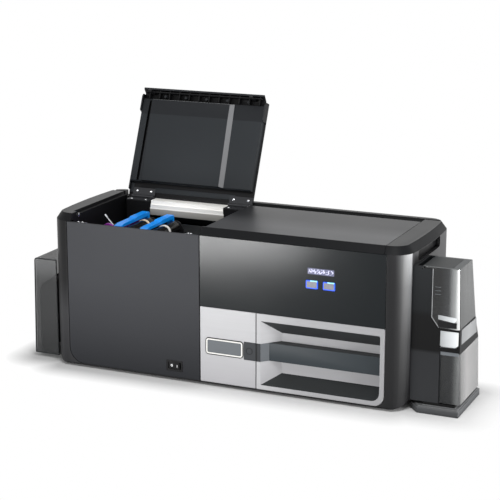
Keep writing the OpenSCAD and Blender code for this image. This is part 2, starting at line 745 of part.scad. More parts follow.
module lid_shell() place() color("#4a4b4e") opened() {
    under = body_h - skin_t;
    difference() {
        along_x(lid_x0, lid_x1) polygon([[0.6, band_z], [top_inset - 0.9, body_h - 1.9],
            [top_inset + 0.6, body_h - 0.4], [top_inset + 2, body_h], [hinge_y - 2, body_h],
            [hinge_y + 1, body_h - 0.5], [hinge_y + 1.6, under + 1], [hinge_y - 4.6, under + 1],
            [hinge_y - 4.6, under], [16, under], [9, under - 1], [3.6, band_z]]);
        // front right corner, clear of the band of the printer cover
        translate([lid_x1, 0, band_z - 1]) linear_extrude(20)
            polygon([[1, -1], [1, 14], [0, 13], [-lid_x1 - seam_gap, 10.5], [-lid_x1 - seam_gap, -1]]);
    }
    // side walls
    along_x(lid_x0, lid_x0 + 2.2) polygon([[12, under], [12, under - 10], [16, body_h - liner_drop],
        [40, body_h - liner_drop], [43, body_h - 8], [hinge_y - 12, body_h - 8], [hinge_y - 10, under]]);
    along_x(lid_x1 - 2.2, lid_x1) polygon([[14.5, under], [14.5, body_h - 13], [17, body_h - liner_drop],
        [42, body_h - liner_drop], [46, body_h - 12], [46, under]]);
    // stiffening ribs behind the front lip
    for (i = [0:rib_count - 1])
        along_x(lid_x0 + rib_inset + i * rib_pitch, lid_x0 + rib_inset + rib_t + i * rib_pitch)
            polygon([[9, under - 1], [4.6, band_z + 0.4], [9, band_z - 1], [19, band_z], [19, under]]);
    // inner lip with the latch hooks
    block(lid_x0 + 6, -seam_gap - 3, 7.5, 9, band_z - 4, under - 0.8);
    for (x = [lid_x0 + 16, lid_x1 - 26])
        along_x(x, x + 6) polygon([[8.5, under - 2], [11.5, under - 2], [11.5, body_h - 28],
            [8.5, body_h - 28], [7.2, body_h - 26], [9, body_h - 23.5]]);
}

module lid_liner() place() color("#55585b") opened() {
    under = body_h - skin_t;
    x0 = lid_x0 + 2.4;
    x1 = lid_x1 - 2.6;
    field_x = lid_x0 + 19;
    front = 19.2;
    rear = hinge_y - 24;
    crease = 46;
    difference() {
        along_x(x0, x1) polygon([[front, under], [front, body_h - 10], [front + 3, body_h - 11],
            [crease, body_h - 12.5], [rear - 2, body_h - 12.5], [rear, body_h - 11], [rear, under]]);
        // groove on the left of the raised field
        block(field_x - 4.5, field_x, front + 3, rear - 2, 0, body_h - 6);
    }
    // raised field, flatter in front of the crease
    hull() {
        translate([0, 0, body_h - 12.6]) linear_extrude(0.1)
            polygon([[field_x, front + 1], [-50.5, front + 1], [-47, rear - 1], [field_x + 6, rear - 1]]);
        translate([0, 0, body_h - liner_drop - 0.6]) linear_extrude(0.1)
            polygon([[field_x + 1.5, front + 2], [-58, front + 2], [-57.4, crease], [field_x + 2, crease]]);
        translate([0, 0, body_h - liner_drop - 1.5]) linear_extrude(0.1)
            polygon([[field_x + 2.5, crease], [-57.4, crease], [-54.3, rear - 2], [field_x + 7.5, rear - 2]]);
    }
}

module hinge_upper_leaves() place() color("#26272a") opened()
    for (x = [hinge_xl, hinge_xr])
        difference() {
            leaf(x, hinge_y - 15, leaf_hi, false);
            for (s = [-1, 1])
                translate([x + s * screw_x, hinge_y - 9.5, leaf_hi - 1]) cylinder(h = 4, r = 1.25);
        }

module upper_hinge_screws() place() color("#e4e5e8") opened()
    for (x = [hinge_xl, hinge_xr], s = [-1, 1])
        translate([x + s * screw_x, hinge_y - 9.5, leaf_hi]) rotate([180, 0, 0]) screw(1.2, leaf_t);

module lid_catches() place() color("#d5d6d9")
    for (x = [lid_x0 + 2, lid_x1 - 41]) {
        block(x, x + 26, panel_t, panel_t + 2, body_h - 34, body_h - 15);
        block(x + 12, x + 26, panel_t + 1, panel_t + 3.2, body_h - 22, body_h - 20);
        block(x, x + 11, panel_t, 24, body_h - 19, body_h - 17);
        block(x, x + 11, 22, 24, body_h - 30, body_h - 18);
    }

module printer_cover() place() color("#626467") {
    under = body_h - skin_t;
    difference() {
        union() {
            along_x(seam_gap, cap_r - 0.8) polygon(concat([[0, band_z], [top_inset - 1, body_h - 1.4],
                [top_inset + 0.4, body_h]], arc(cover_y1 - 9, body_h - 9, 9, 90, 35, 6),
                [[cover_y1 - 4, body_h - 8], [cover_y1 - 12, under], [16, under], [9, under - 1],
                [3, band_z]]));
            // end walls
            for (x = [seam_gap + 6, cap_r - 3.4])
                along_x(x, x + 2.4) polygon([[6, body_h - 5], [8, band_z - 2], [cover_y1 - 6, band_z - 2],
                    [cover_y1 - 5, body_h - 7], [cover_y1 - 10, under + 0.5], [16, under + 0.5]]);
            // hinge arms
            for (x = arm_x)
                along_x(x, x + 12) polygon(concat(arc(cover_hinge_y, cover_hinge_z, 4, -80, 80, 10),
                    [[cover_y1 - 12, under + 0.5], [cover_y1 - 26, under + 0.5],
                    [cover_y1 - 18, under - 3]]));
        }
        for (x = arm_x)
            rod_x(x - 1, x + 13, cover_hinge_y, cover_hinge_z, 2 + run_gap);
        // notch for the lid's right edge
        translate([0, 0, band_z - 5]) linear_extrude(20)
            polygon([[-1, 9.2], [lid_x1 + 1, 12.6], [lid_x1 + 1, body_d], [-1, body_d]]);
    }
}

module cover_hinge_brackets() place() color("#202124")
    for (x = arm_x) {
        for (s = [x - 4.4, x + 12.4])
            along_x(s, s + 4) polygon([[chassis_y - plate_t, mount_z],
                [chassis_y - plate_t, cover_hinge_z - 16], [cover_hinge_y - 4, cover_hinge_z],
                [cover_hinge_y - 2, cover_hinge_z + 4],
                [cover_hinge_y + 2, cover_hinge_z + 4], [cover_hinge_y + 4, cover_hinge_z],
                [cover_hinge_y + 6, cover_hinge_z - 16], [cover_hinge_y + 6, mount_z]]);
        block(x - 4.4, x + 16.4, chassis_y - plate_t, cover_hinge_y + 6, mount_z, mount_z + 7);
        rod_x(x - 4, x + 16, cover_hinge_y, cover_hinge_z, 2);
    }

// printhead with its heat sink and the bridge between the side plates
module printhead() place() color("#b9bcc0") {
    block(platen_x - 6, platen_x + 12, recess_d + 8 + plate_t, plate_y1, path_z + 22, path_z + 26);
    block(platen_x - 6, platen_x + 10, path_y - 28, path_y + 28, path_z + 6, path_z + 22);
    along_y(path_y - 27, path_y + 27) polygon([[platen_x - 5, path_z + 6], [platen_x - 2, path_z + 1.2],
        [platen_x + 2, path_z + 1.2], [platen_x + 6, path_z + 6]]);
    for (x = [platen_x - 5:4:platen_x + 11])
        block(x, x + 1.4, path_y - 26, path_y + 26, path_z + 26, path_z + 32);
}

// end plates of a cartridge with the holes of both spools
module cartridge_frame(x, y0) {
    y1 = y0 + cart_len;
    top = spool_z + 8;
    low = plate_top - 42;
    difference() {
        union() {
            for (y = [y0, y1 - 3])
                along_y(y, y + 3) polygon([[x - 22, low + 8], [x - 14, low], [x + 14, low],
                    [x + 22, low + 8], [x + 22, spool_z - 6], [x + 17, top - 3], [x + 12, top],
                    [x - 12, top], [x - 17, top - 3], [x - 22, spool_z - 6]]);
            // lugs that rest on the steel frame
            for (s = [-1, 1]) {
                block(x + s * 17 - 4, x + s * 17 + 4, plate_y0 - 0.5, y0, plate_top, plate_top + 3);
                block(x + s * 17 - 4, x + s * 17 + 4, y1, plate_y1 + plate_t + 0.5, plate_top, plate_top + 3);
            }
            block(x - 14, x + 14, y0, y1, low, low + 2.5);
        }
        for (s = [-1, 1])
            rod_y(x + s * spool_x, spool_z, y0 - 1, y1 + 1, 2.5 + run_gap);
    }
}

// lift-out handle with a leg at each end
module cartridge_handle(x, y0) {
    y1 = y0 + cart_len;
    h = handle_w / 2;
    step_y = y0 + cart_len * 0.52;
    step_h = 1.8;
    along_x(x - h, x + h) polygon([[y0 + 3, spool_z - 6], [y0 + 7, spool_z - 6], [y0 + 7, handle_z - 5],
        [y1 - 7, handle_z - 5], [y1 - 7, spool_z - 12], [y1 - 3, spool_z - 12], [y1 - 3, handle_z - 2],
        [y1 - 5, handle_z], [step_y + 2, handle_z], [step_y, handle_z - step_h],
        [y0 + 14, handle_z - step_h], [y0 + 3, handle_z - 4]]);
    // side skirts of the grip
    for (s = [x - h, x + h - 1.6])
        block(s, s + 1.6, y0 + 7, y1 - 7, handle_z - 7, handle_z - 4);
}

// full roll of film on its core
module supply_roll(x, y0) {
    rod_y(x, spool_z, y0 - 1.5, y0 + cart_len + 1.5, 2.5);
    rod_y(x, spool_z, y0 + 8, y0 + 12 + film_w, 5.5);
    rod_y(x, spool_z, y0 + 10, y0 + 10 + film_w, film_r);
}

// take-up spool with its two flanges and a drive wheel
module takeup_spool(x, y0) {
    rod_y(x, spool_z, y0 - 1.5, y0 + cart_len + 1.5, 2.5);
    rod_y(x, spool_z, y0 + 8, y0 + 12 + film_w, 7);
    for (y = [y0 + 8, y0 + 10 + film_w])
        rod_y(x, spool_z, y, y + 2, film_r + 0.5);
    // the wheel ends short of the handle's leg
    translate([x, y0 + cart_len - 11, spool_z]) rotate([-90, 0, 0]) linear_extrude(3) gear(14, 8, 0);
}

module cartridge_frame_1() place() color("#191a1c")
    cartridge_frame(cart_x - cart_pitch, cart_y0 + cart_shift);

module cartridge_handle_1() place() color("#008ce6")
    cartridge_handle(cart_x - cart_pitch, cart_y0 + cart_shift);

module supply_roll_1() place() color("#e9e2c8")
    supply_roll(cart_x - cart_pitch + spool_x, cart_y0 + cart_shift);

module takeup_spool_1() place() color("#82147f")
    takeup_spool(cart_x - cart_pitch - spool_x, cart_y0 + cart_shift);

module cartridge_frame_2() place() color("#191a1c") cartridge_frame(cart_x, cart_y0);

module cartridge_handle_2() place() color("#008ce6") cartridge_handle(cart_x, cart_y0);

module supply_roll_2() place() color("#ecebe6") supply_roll(cart_x + spool_x, cart_y0);

module takeup_spool_2() place() color("#d8d6d0") takeup_spool(cart_x - spool_x, cart_y0);

// outline of a spur gear
module gear(n, rp, phase) {
    m = 2 * rp / n;
    p = 360 / n;
    ra = rp + 0.7 * m;
    rd = rp - 1.0 * m;
    polygon([for (i = [0:n - 1], q = [[-0.3, rd], [-0.12, ra], [0.12, ra], [0.3, rd]])
        let(a = phase + (i + q[0]) * p) [q[1] * cos(a), q[1] * sin(a)]]);
}

// roller on a shaft, with a gear behind the rear plate
module geared_roller(x, z, r, y0, y1, phase) {
    rod_y(x, z, plate_y0 - 4, gear_y + gear_w, shaft_r);
    rod_y(x, z, y0, y1, r);
    translate([x, gear_y, z]) rotate([-90, 0, 0]) linear_extrude(gear_w)
        gear(gear_teeth, gear_pitch_r, phase);
}

module heated_roller() place() color("#4d2b28")
    geared_roller(heat_x, path_z + gear_pitch_r, heat_r, 40, 140, 90);

module pressure_roller() place() color("#27282a")
    geared_roller(heat_x, path_z - gear_pitch_r, heat_r, 40, 140, -90 + 180 / gear_teeth);

// rubber roller between the printer's side plates
module path_roller(x) {
    rod_y(x, roller_z, recess_d + 5, plate_y1 + plate_t + 3, shaft_r);
    rod_y(x, roller_z, path_y - rubber_w / 2, path_y + rubber_w / 2, feed_r);
}

module platen_roller() place() color("#1a1a1b") path_roller(platen_x);

module feed_roller() place() color("#3b3c3f") path_roller(feed_x);

// ribbon spool on its shaft
module ribbon_spool(x, r) {
    rod_y(x, ribbon_z, recess_d + 5, plate_y1 + plate_t + 3, shaft_r);
    rod_y(x, ribbon_z, path_y - 30, path_y + 30, r);
    for (y = [path_y - 32, path_y + 30])
        rod_y(x, ribbon_z, y, y + 2, r + 1.5);
}

module ribbon_supply() place() color("#2c2f6b") ribbon_spool(ribbon_x1, 14);

module ribbon_takeup() place() color("#55585c") ribbon_spool(ribbon_x0, 9);

// side view of the right hopper, set in by g
module hopper_side(g) {
    y1 = hop_y + hop_d - g;
    polygon([[hop_y + g, hop_z0 + g], [y1 + hop_slope, hop_z0 + g], [y1 + hop_slope, band_lo],
        [y1 + hop_slope * 0.53, seam_z], [y1, hop_h], [hop_y + g, hop_h]]);
}

// right face of the hopper at height z
function hop_x(z) = hop_x1 - hop_flare * (z - hop_z0) / (hop_h - hop_z0);

module hopper_frame() place() color("#3a3b3e") {
    difference() {
        intersection() {
            along_y(hop_y - 1, hop_y + hop_d + hop_slope + 1) polygon([[hop_in, hop_z0],
                [door_x, hop_z0], [door_x, band_lo], [hop_x(band_lo), band_lo],
                [hop_x(seam_z), seam_z - 0.3], [side_x + 11, seam_z - 0.3], [side_x, seam_z + 15],
                [side_x, hop_h], [hop_in, hop_h]]);
            along_x(prt_len - 12, hop_x1 + 1) hopper_side(0);
        }
        // inside, open towards the doors
        difference() {
            along_x(hop_wall_x, hop_x1 + 2) hopper_side(clear_t + 0.4);
            block(hop_in, hop_x1 + 3, hop_y, 200, band_lo, band_lo + 5);
            block(hop_x(seam_z) - clear_t - 1, hop_x1 + 3, hop_y, 200, band_lo, seam_z);
        }
        // room for the body of the printer
        translate([0, 0, -1]) linear_extrude(body_h) polygon(plan(-0.15));
        // room for the flap of the upper door
        block(hop_ax + 2.2, hop_x1, hop_y - 1, 200, hop_h - 2.7, hop_h + 1);
        rod_y(hop_ax, hop_az, hop_y - 1, 200, 1.5 + run_gap);
        // pin hole of the lower door
        translate([door_ax, door_ay, band_lo - 1]) cylinder(h = 4, r = 1.2 + run_gap);
        // way for the cards into the printer
        block(hop_in, hop_wall_x + 1, path_y - slot_half, path_y + slot_half, path_z - 6, path_z + 8);
        // window in front of the feed housing
        block(door_x, hop_x(seam_z) - 4, hop_y - 1, hop_y + 5, band_lo + 7, seam_z - 4);
    }
    // guide of the card weight
    difference() {
        block(hop_wall_x, hop_wall_x + 6, guide_y - 6, guide_y + 6, path_z + 8.5, hop_h - 8);
        block(hop_wall_x + 2, hop_wall_x + 7, guide_y - 2.3, guide_y + 2.3, seam_z, hop_h);
    }
}

module feed_housing() place() color("#c8c9c6") difference() {
    block(door_x, hop_x(seam_z) - clear_t - 4, hop_y + 3.2, hop_y + hop_d, band_lo + 5, seam_z - 4);
    block(door_x + 4, hop_x(seam_z) - clear_t - 8, hop_y + 12, hop_y + hop_d - 6, band_lo + 12, seam_z);
}

module card_weight() place() color("#e6e7ea") {
    block(side_x + 7, hop_x(seam_z) - clear_t - 3, hop_y + 6, hop_y + hop_d - 8, weight_z, weight_z + 9);
    block(hop_wall_x + 2.3, side_x + 8, guide_y - 2, guide_y + 2, weight_z, weight_z + 9);
    block(hop_wall_x + 7, side_x + 8, guide_y - 6, guide_y + 6, weight_z, weight_z + 9);
}

module upper_hopper_door() place() color("#2c2d30") {
    difference() {
        intersection() {
            along_y(hop_y - 1, hop_y + hop_d + hop_slope) polygon([[side_x + 0.6, seam_z + 15.2],
                [side_x + 11.6, seam_z], [hop_x(seam_z), seam_z], [hop_x(hop_h), hop_h],
                [side_x + 0.6, hop_h]]);
            along_x(side_x, hop_x1 + 1) hopper_side(0);
        }
        intersection() {
            along_y(hop_y - 1, hop_y + hop_d + hop_slope) polygon([[side_x - 1, seam_z - 1],
                [hop_x(seam_z) - clear_t, seam_z - 1], [hop_x(hop_h) - clear_t, hop_h - clear_t],
                [side_x - 1, hop_h - clear_t]]);
            along_x(side_x - 1, hop_x1 + 1) hopper_side(clear_t);
        }
    }
    // flap over the frame, its barrel and its pins
    block(hop_ax + 3.6, side_x + 2, hop_y, hop_y + hop_d, hop_h - clear_t, hop_h);
    block(hop_ax, hop_ax + 5, hop_y + clear_t + 0.8, hop_y + hop_d - clear_t - 1.2, hop_h - clear_t, hop_h);
    rod_y(hop_ax, hop_az, hop_y + clear_t + 0.8, hop_y + hop_d - clear_t - 1.2, 2.2);
    rod_y(hop_ax, hop_az, hop_y + 0.3, hop_y + hop_d - 0.3, 1.5);
}

module lower_hopper_door() place() color("#232427") {
    z0 = hop_z0 + 1.2;
    z1 = band_lo - 0.6;
    difference() {
        intersection() {
            along_y(hop_y - 1, hop_y + hop_d + hop_slope + 1) polygon([[door_ax, z0],
                [hop_x(z0), z0], [hop_x(z1), z1], [door_ax, z1]]);
            along_x(door_x, hop_x1 + 1) hopper_side(0);
        }
        intersection() {
            along_y(hop_y - 1, hop_y + hop_d + hop_slope + 1) polygon([[door_x, z0 + clear_t],
                [hop_x(z0) - clear_t, z0 + clear_t], [hop_x(z1) - clear_t, z1 + 1], [door_x, z1 + 1]]);
            along_x(door_x - 1, hop_x1 + 1) hopper_side(clear_t);
        }
    }
    translate([door_ax, door_ay, hop_z0 - 2]) cylinder(h = z1 - hop_z0 + 4, r = 1.2);
    translate([door_ax, door_ay, z0]) cylinder(h = z1 - z0, r = door_r);
}

// outline of the hopper's foot, set in by g
module foot_view(g) {
    x0 = prt_len - 4 + g * 3;
    x1 = hop_x1 - g;
    y0 = hop_y - 8 + g;
    y1 = hop_y + hop_d + hop_slope + 9 - g;
    polygon([[x0, y0 + 16], [prt_len + 10 + g, y0], [x1, y0], [x1, y1], [x0, y1]]);
}

module hopper_base() place() color("#8e9093") difference() {
    union() {
        linear_extrude(hop_base_h) foot_view(0);
        translate([0, 0, hop_base_h]) linear_extrude(1.5) foot_view(1.5);
        linear_extrude(hop_z0) foot_view(7);
    }
    translate([door_ax, door_ay, hop_z0 - 2.5]) cylinder(h = 4, r = 1.2 + run_gap);
}

module output_hopper() place() color("#4b4c50") difference() {
    top = out_h;
    y0 = hop_y - 3;
    y1 = y0 + out_d;
    out = [[out_x0, base_z], [out_x0 + 3, top - 4], [out_x0 + 4.5, top - 1], [out_x0 + 7, top],
        [-lam_len + 12, top], [-lam_len + 12, base_z]];
    along_y(y0, y1) polygon(out);
    along_y(y0 + clear_t, y1 - clear_t) polygon([[out_x0 + clear_t, base_z + clear_t],
        [out_x0 + 3 + clear_t, top - 5], [out_x0 + 7, top + 1], [-lam_len + 13, top + 1],
        [-lam_len + 13, base_z + clear_t]]);
    translate([0, 0, -1]) linear_extrude(body_h) polygon(plan(-0.15));
    // rounded lower corner of the body
    block(-lam_len, -lam_len + 13, 0, 200, 0, body_h);
}

// arched guide that turns the cards down into the output hopper
module card_chute() place() color("#1a1b1d") {
    y0 = hop_y - 3 + clear_t + 0.3;
    y1 = hop_y - 3 + out_d - clear_t - 0.3;
    along_y(y0, y1) polygon(concat([[-lam_len - 34, base_z + clear_t]],
        arc(-lam_len - 14, path_z - 24, 20, 180, 110, 6),
        [[-lam_len - 3.2, path_z + 8], [-lam_len - 3.2, path_z + 5.5]],
        arc(-lam_len - 14, path_z - 24, 17.5, 110, 180, 6), [[-lam_len - 31.5, base_z + clear_t]]));
}

base_tray();
rubber_feet();
left_end_shell();
right_end_shell();
rear_cover();
laminator_front_panel();
printer_front_panel();
badge_tile();
output_bezel();
accent_bar();
display_lens();
display_module();
switch_frame();
chassis_tray();
bay_divider();
laminator_frame();
printer_frame();
chassis_bar();
hinge_mounts();
hinge_lower_leaves();
hinge_pins();
lower_hinge_screws();
cover_hinge_brackets();
lid_catches();
power_inlet();
data_ports();
lid_shell();
lid_liner();
hinge_upper_leaves();
upper_hinge_screws();
printer_cover();
printhead();
key_left();
key_right();
power_rocker();
cartridge_frame_1();
cartridge_handle_1();
supply_roll_1();
takeup_spool_1();
cartridge_frame_2();
cartridge_handle_2();
supply_roll_2();
takeup_spool_2();
heated_roller();
pressure_roller();
platen_roller();
feed_roller();
ribbon_supply();
ribbon_takeup();
release_lever();
hopper_frame();
hopper_base();
feed_housing();
upper_hopper_door();
lower_hopper_door();
card_weight();
output_hopper();
card_chute();
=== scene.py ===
# %% [markdown]
# # A card printer with its laminator lid open
#
# The imported CAD model gives every rigid piece: casing panels, hinges, rollers, cartridges, hoppers.
# This lesson dresses that frame. It sets the camera first, makes one finish for each kind of surface,
# rounds the mouldings, adds the thin pieces that the solids leave out and a few that paint light and
# shade, and lights the studio last.
# All lengths are metres in the frame of the CAD model: the middle of the overall box is at x = 0 and
# y = 0, and the table is z = 0.

# %% Load the frame
import json
import math

import bmesh
import bpy
from mathutils import Matrix, Vector
from mathutils.bvhtree import BVHTree


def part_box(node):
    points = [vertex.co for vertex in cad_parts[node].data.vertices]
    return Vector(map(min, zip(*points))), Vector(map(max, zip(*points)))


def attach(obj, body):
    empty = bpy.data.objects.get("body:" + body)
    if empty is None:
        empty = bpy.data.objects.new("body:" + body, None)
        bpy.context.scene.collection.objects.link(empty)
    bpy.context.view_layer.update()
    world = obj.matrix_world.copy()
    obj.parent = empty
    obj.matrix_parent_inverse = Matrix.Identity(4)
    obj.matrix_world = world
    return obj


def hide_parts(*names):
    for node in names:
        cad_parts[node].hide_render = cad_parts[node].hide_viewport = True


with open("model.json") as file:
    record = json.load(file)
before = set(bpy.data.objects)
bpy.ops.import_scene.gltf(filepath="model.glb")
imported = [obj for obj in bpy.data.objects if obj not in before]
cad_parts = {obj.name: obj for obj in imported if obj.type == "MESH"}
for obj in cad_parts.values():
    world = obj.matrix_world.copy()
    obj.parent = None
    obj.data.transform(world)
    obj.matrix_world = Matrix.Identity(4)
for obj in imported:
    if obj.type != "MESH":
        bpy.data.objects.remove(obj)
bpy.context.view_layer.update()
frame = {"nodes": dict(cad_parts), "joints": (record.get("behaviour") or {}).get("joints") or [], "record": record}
nodes = frame["nodes"]
MM = 0.001

# %% [markdown]
# ## Camera
#
# The machine is seen from the front right and a little above. The long lens keeps its uprights nearly
# parallel, as a catalogue picture does. A camera could be aimed by eye, but here its place comes from
# an azimuth, an elevation and a distance to one aim point on the front, so each can be changed alone.

# %% Camera
CAMERA_AZIMUTH = math.radians(23.89)
CAMERA_ELEVATION = math.radians(14.14)
CAMERA_DISTANCE = 2.284
CAMERA_FOCAL_PX = 1530.0
IMAGE_PX = 500.0
SENSOR_MM = 36.0
seam_x = (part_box("laminator_front_panel")[1][0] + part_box("printer_front_panel")[0][0]) / 2
front_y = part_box("laminator_front_panel")[0][1]
AIM = Vector((seam_x + 84.4 * MM, front_y, 223.8 * MM))


def direction(azimuth, elevation):
    """Unit vector from the object towards a viewer."""
    flat = math.cos(elevation)
    return Vector((math.sin(azimuth) * flat, -math.cos(azimuth) * flat, math.sin(elevation)))


camera_data = bpy.data.cameras.new("camera")
camera_data.sensor_width = SENSOR_MM
camera_data.lens = CAMERA_FOCAL_PX / IMAGE_PX * SENSOR_MM
camera_data.clip_end = 20
camera = bpy.data.objects.new("camera", camera_data)
bpy.context.scene.collection.objects.link(camera)
view_back = direction(CAMERA_AZIMUTH, CAMERA_ELEVATION)
camera.location = AIM + view_back * CAMERA_DISTANCE
camera.rotation_euler = view_back.to_track_quat("Z", "Y").to_euler()
bpy.context.scene.camera = camera
print("camera at", tuple(round(c, 3) for c in camera.location))

# %% [markdown]
# ## Shader maths
#
# A finish is a small network of nodes. Wiring each Math node by hand hides the idea behind it, so a
# socket is wrapped in a class that knows plus, minus and times. `cloud * 0.08` then adds the node itself.
# Colours go through Mix nodes, because a Math node would turn them grey.

# %% Shader maths
class Value:
    """An output socket that can be used in sums."""

    def __init__(self, tree, socket):
        self.tree = tree
        self.socket = socket

    def maths(self, operation, first, second=0.0):
        made = self.tree.add("ShaderNodeMath", {"operation": operation}, {0: first, 1: second})
        return made.out(0)

    def __add__(self, other):
        return self.maths("ADD", self, other)

    def __sub__(self, other):
        return self.maths("SUBTRACT", self, other)

    def __mul__(self, other):
        return self.maths("MULTIPLY", self, other)

    def __truediv__(self, other):
        return self.maths("DIVIDE", self, other)

    def __gt__(self, other):
        return self.maths("GREATER_THAN", self, other)

    def __lt__(self, other):
        return self.maths("LESS_THAN", self, other)

    def absolute(self):
        return self.maths("ABSOLUTE", self)

    def highest(self, other):
        return self.maths("MAXIMUM", self, other)

    def lowest(self, other):
        return self.maths("MINIMUM", self, other)


class Made:
    """A node whose outputs come back as values."""

    def __init__(self, tree, node):
        self.tree = tree
        self.node = node

    def out(self, key=0):
        return Value(self.tree, self.node.outputs[key])


class Tree:
    """The nodes of a material or a world, added with settings first and inputs second."""

    def __init__(self, name, owner=None):
        self.owner = owner or bpy.data.materials.new(name)
        self.owner.use_nodes = True
        self.nodes = self.owner.node_tree.nodes
        self.links = self.owner.node_tree.links
        self.nodes.clear()

    def put(self, socket, value):
        if isinstance(value, Value):
            self.links.new(value.socket, socket)
        elif isinstance(value, (tuple, list)) and len(value) == 3 and socket.type == "RGBA":
            socket.default_value = (*value, 1.0)
        else:
            socket.default_value = value

    def add(self, kind, settings=None, inputs=None):
        node = self.nodes.new(kind)
        for name, value in (settings or {}).items():
            if name == "stops":
                ramp = node.color_ramp
                ramp.elements.remove(ramp.elements[1])
                ramp.elements[0].position = value[0][0]
                ramp.elements[0].color = (*value[0][1], 1.0)
                for place, colour in value[1:]:
                    ramp.elements.new(place).color = (*colour, 1.0)
            else:
                setattr(node, name, value)
        for key, value in (inputs or {}).items():
            self.put(node.inputs[key], value)
        return Made(self, node)

    def place(self):
        return self.add("ShaderNodeTexCoord").out("Object")

    def noise(self, scale, detail=2.0, rough=0.5, vector=None):
        return self.add("ShaderNodeTexNoise", None, {
            "Vector": vector or self.place(), "Scale": scale, "Detail": detail, "Roughness": rough,
        }).out(0)

    def stretched(self, scale, detail=2.0, rough=0.6):
        """Noise drawn out along the axes whose scale is small."""
        mapping = self.add("ShaderNodeMapping", None, {"Vector": self.place(), "Scale": scale})
        return self.noise(1.0, detail, rough, mapping.out(0))

    def mix(self, factor, first, second):
        made = self.add("ShaderNodeMix", {"data_type": "RGBA"}, {0: factor, 6: first, 7: second})
        return made.out(2)

    def close(self, shader, kind="ShaderNodeOutputMaterial"):
        self.links.new(shader.socket, self.nodes.new(kind).inputs[0])
        return self.owner


def linear(red, green, blue):
    """A colour given as it looks on a screen, 0 to 255, as the light value that a shader wants."""
    def one(c):
        c = c / 255
        return c / 12.92 if c <= 0.04045 else ((c + 0.055) / 1.055) ** 2.4
    return (one(red), one(green), one(blue))


def shade(colour, factor):
    return tuple(c * factor for c in colour)


def fade(tree, axis, *stops):
    """A colour that changes along an axis: each stop is a place in millimetres and a screen colour."""
    index = "xyz".index(axis)
    origin = (seam_x, front_y, 0.0)[index]
    first, last = stops[0][0], stops[-1][0]
    split = tree.add("ShaderNodeSeparateXYZ", None, {0: tree.place()})
    share = ((split.out(index) - origin) / MM - first) / (last - first)
    places = [((mm - first) / (last - first), linear(*colour)) for mm, colour in stops]
    return tree.add("ShaderNodeValToRGB", {"stops": places}, {0: share}).out(0)


def corner_tone(tree):
    """A painted soft reflection: a light band down the round right corner, strongest at the top."""
    shine = fade(tree, "x", (302, (13, 13, 15)), (312, (26, 26, 28)), (321, (70, 71, 72)),
                 (326, (130, 131, 132)), (330.2, (180, 181, 183)), (330.9, (62, 62, 64)),
                 (337, (16, 16, 18)))
    height = fade(tree, "z", (25, (0, 0, 0)), (110, (80, 80, 80)), (190, (160, 160, 160)),
                  (236, (255, 255, 255)))
    return tree.mix(height, linear(13, 13, 15), shine)


def drifting(tree, cloud, colour, drift):
    """A colour, a fade as (axis, stop, stop, ...), or a function of the tree, with a slight wander."""
    if callable(colour):
        varying = colour(tree)
    elif isinstance(colour[0], str):
        varying = fade(tree, *colour)
    else:
        return tree.mix(cloud, shade(colour, 1 - drift), shade(colour, 1 + drift))
    return tree.add("ShaderNodeMix", {"data_type": "RGBA", "blend_type": "MULTIPLY"}, {
        0: 1.0, 6: varying, 7: tree.mix(cloud, (1 - drift,) * 3, (1 + drift,) * 3),
    }).out(2)


# %% [markdown]
# ## Finishes
#
# Moulded casings have a spark-eroded grain: a fine, even pebble that scatters highlights. Noise at
# about a millimetre in the bump gives it, and a much larger noise lets colour and gloss drift a
# little, as handled plastic does. A Bevel node rounds the look of every hard edge, so that edges
# catch light without more geometry.

# %% Plastic finish
EDGE_RADIUS = 0.7 * MM
GRAIN_SCALE = 900.0
STREAK_SCALE = (5.0, 5.0, 420.0)
STREAK_COLOUR = (0.3, 0.3, 0.31)


def plastic(name, colour, rough, grain=0.15, coat=0.0, drift=0.06, specular=0.5, streak=0.0):
    """Moulded plastic: streak is how strongly fine level lines tint a brushed paint."""
    tree = Tree(name)
    cloud = tree.noise(9.0, 3.0)
    pebble = tree.noise(GRAIN_SCALE, 2.0, 0.6)
    tone = drifting(tree, cloud, colour, drift)
    if streak:
        tone = tree.mix(tree.stretched(STREAK_SCALE) * streak, tone, STREAK_COLOUR)
    gloss = cloud * 0.08 + pebble * 0.06 + (rough - 0.07)
    edge_normal = tree.add("ShaderNodeBevel", {"samples": 4}, {"Radius": EDGE_RADIUS}).out(0)
    bump = tree.add("ShaderNodeBump", None, {
        "Strength": grain, "Distance": 0.0002, "Height": pebble, "Normal": edge_normal,
    }).out(0)
    shader = tree.add("ShaderNodeBsdfPrincipled", None, {
        "Base Color": tone, "Roughness": gloss, "Normal": bump, "Coat Weight": coat,
        "Coat Roughness": 0.04, "Specular IOR Level": specular,
    })
    return tree.close(shader.out(0))


# %% Metal finish
METAL_EDGE = 0.3 * MM
FINE_GRAIN, LONG_GRAIN = 260.0, 9.0


def metal(name, colour, rough, brush=None, metallic=1.0):
    """Sheet metal: brush names the axis along which the grain runs, 0, 1 or 2."""
    tree = Tree(name)
    lines = tree.stretched([LONG_GRAIN if axis == brush else FINE_GRAIN for axis in range(3)], 3.0)
    cloud = tree.noise(14.0, 2.0)
    tone = tree.mix(lines, shade(colour, 0.86), shade(colour, 1.1))
    gloss = lines * 0.16 + cloud * 0.08 + (rough - 0.12)
    edge_normal = tree.add("ShaderNodeBevel", {"samples": 4}, {"Radius": METAL_EDGE}).out(0)
    bump = tree.add("ShaderNodeBump", None, {
        "Strength": 0.12, "Distance": 0.0001, "Height": lines, "Normal": edge_normal,
    }).out(0)
    shader = tree.add("ShaderNodeBsdfPrincipled", None, {
        "Base Color": tone, "Roughness": gloss, "Metallic": metallic, "Normal": bump,
    })
    return tree.close(shader.out(0))
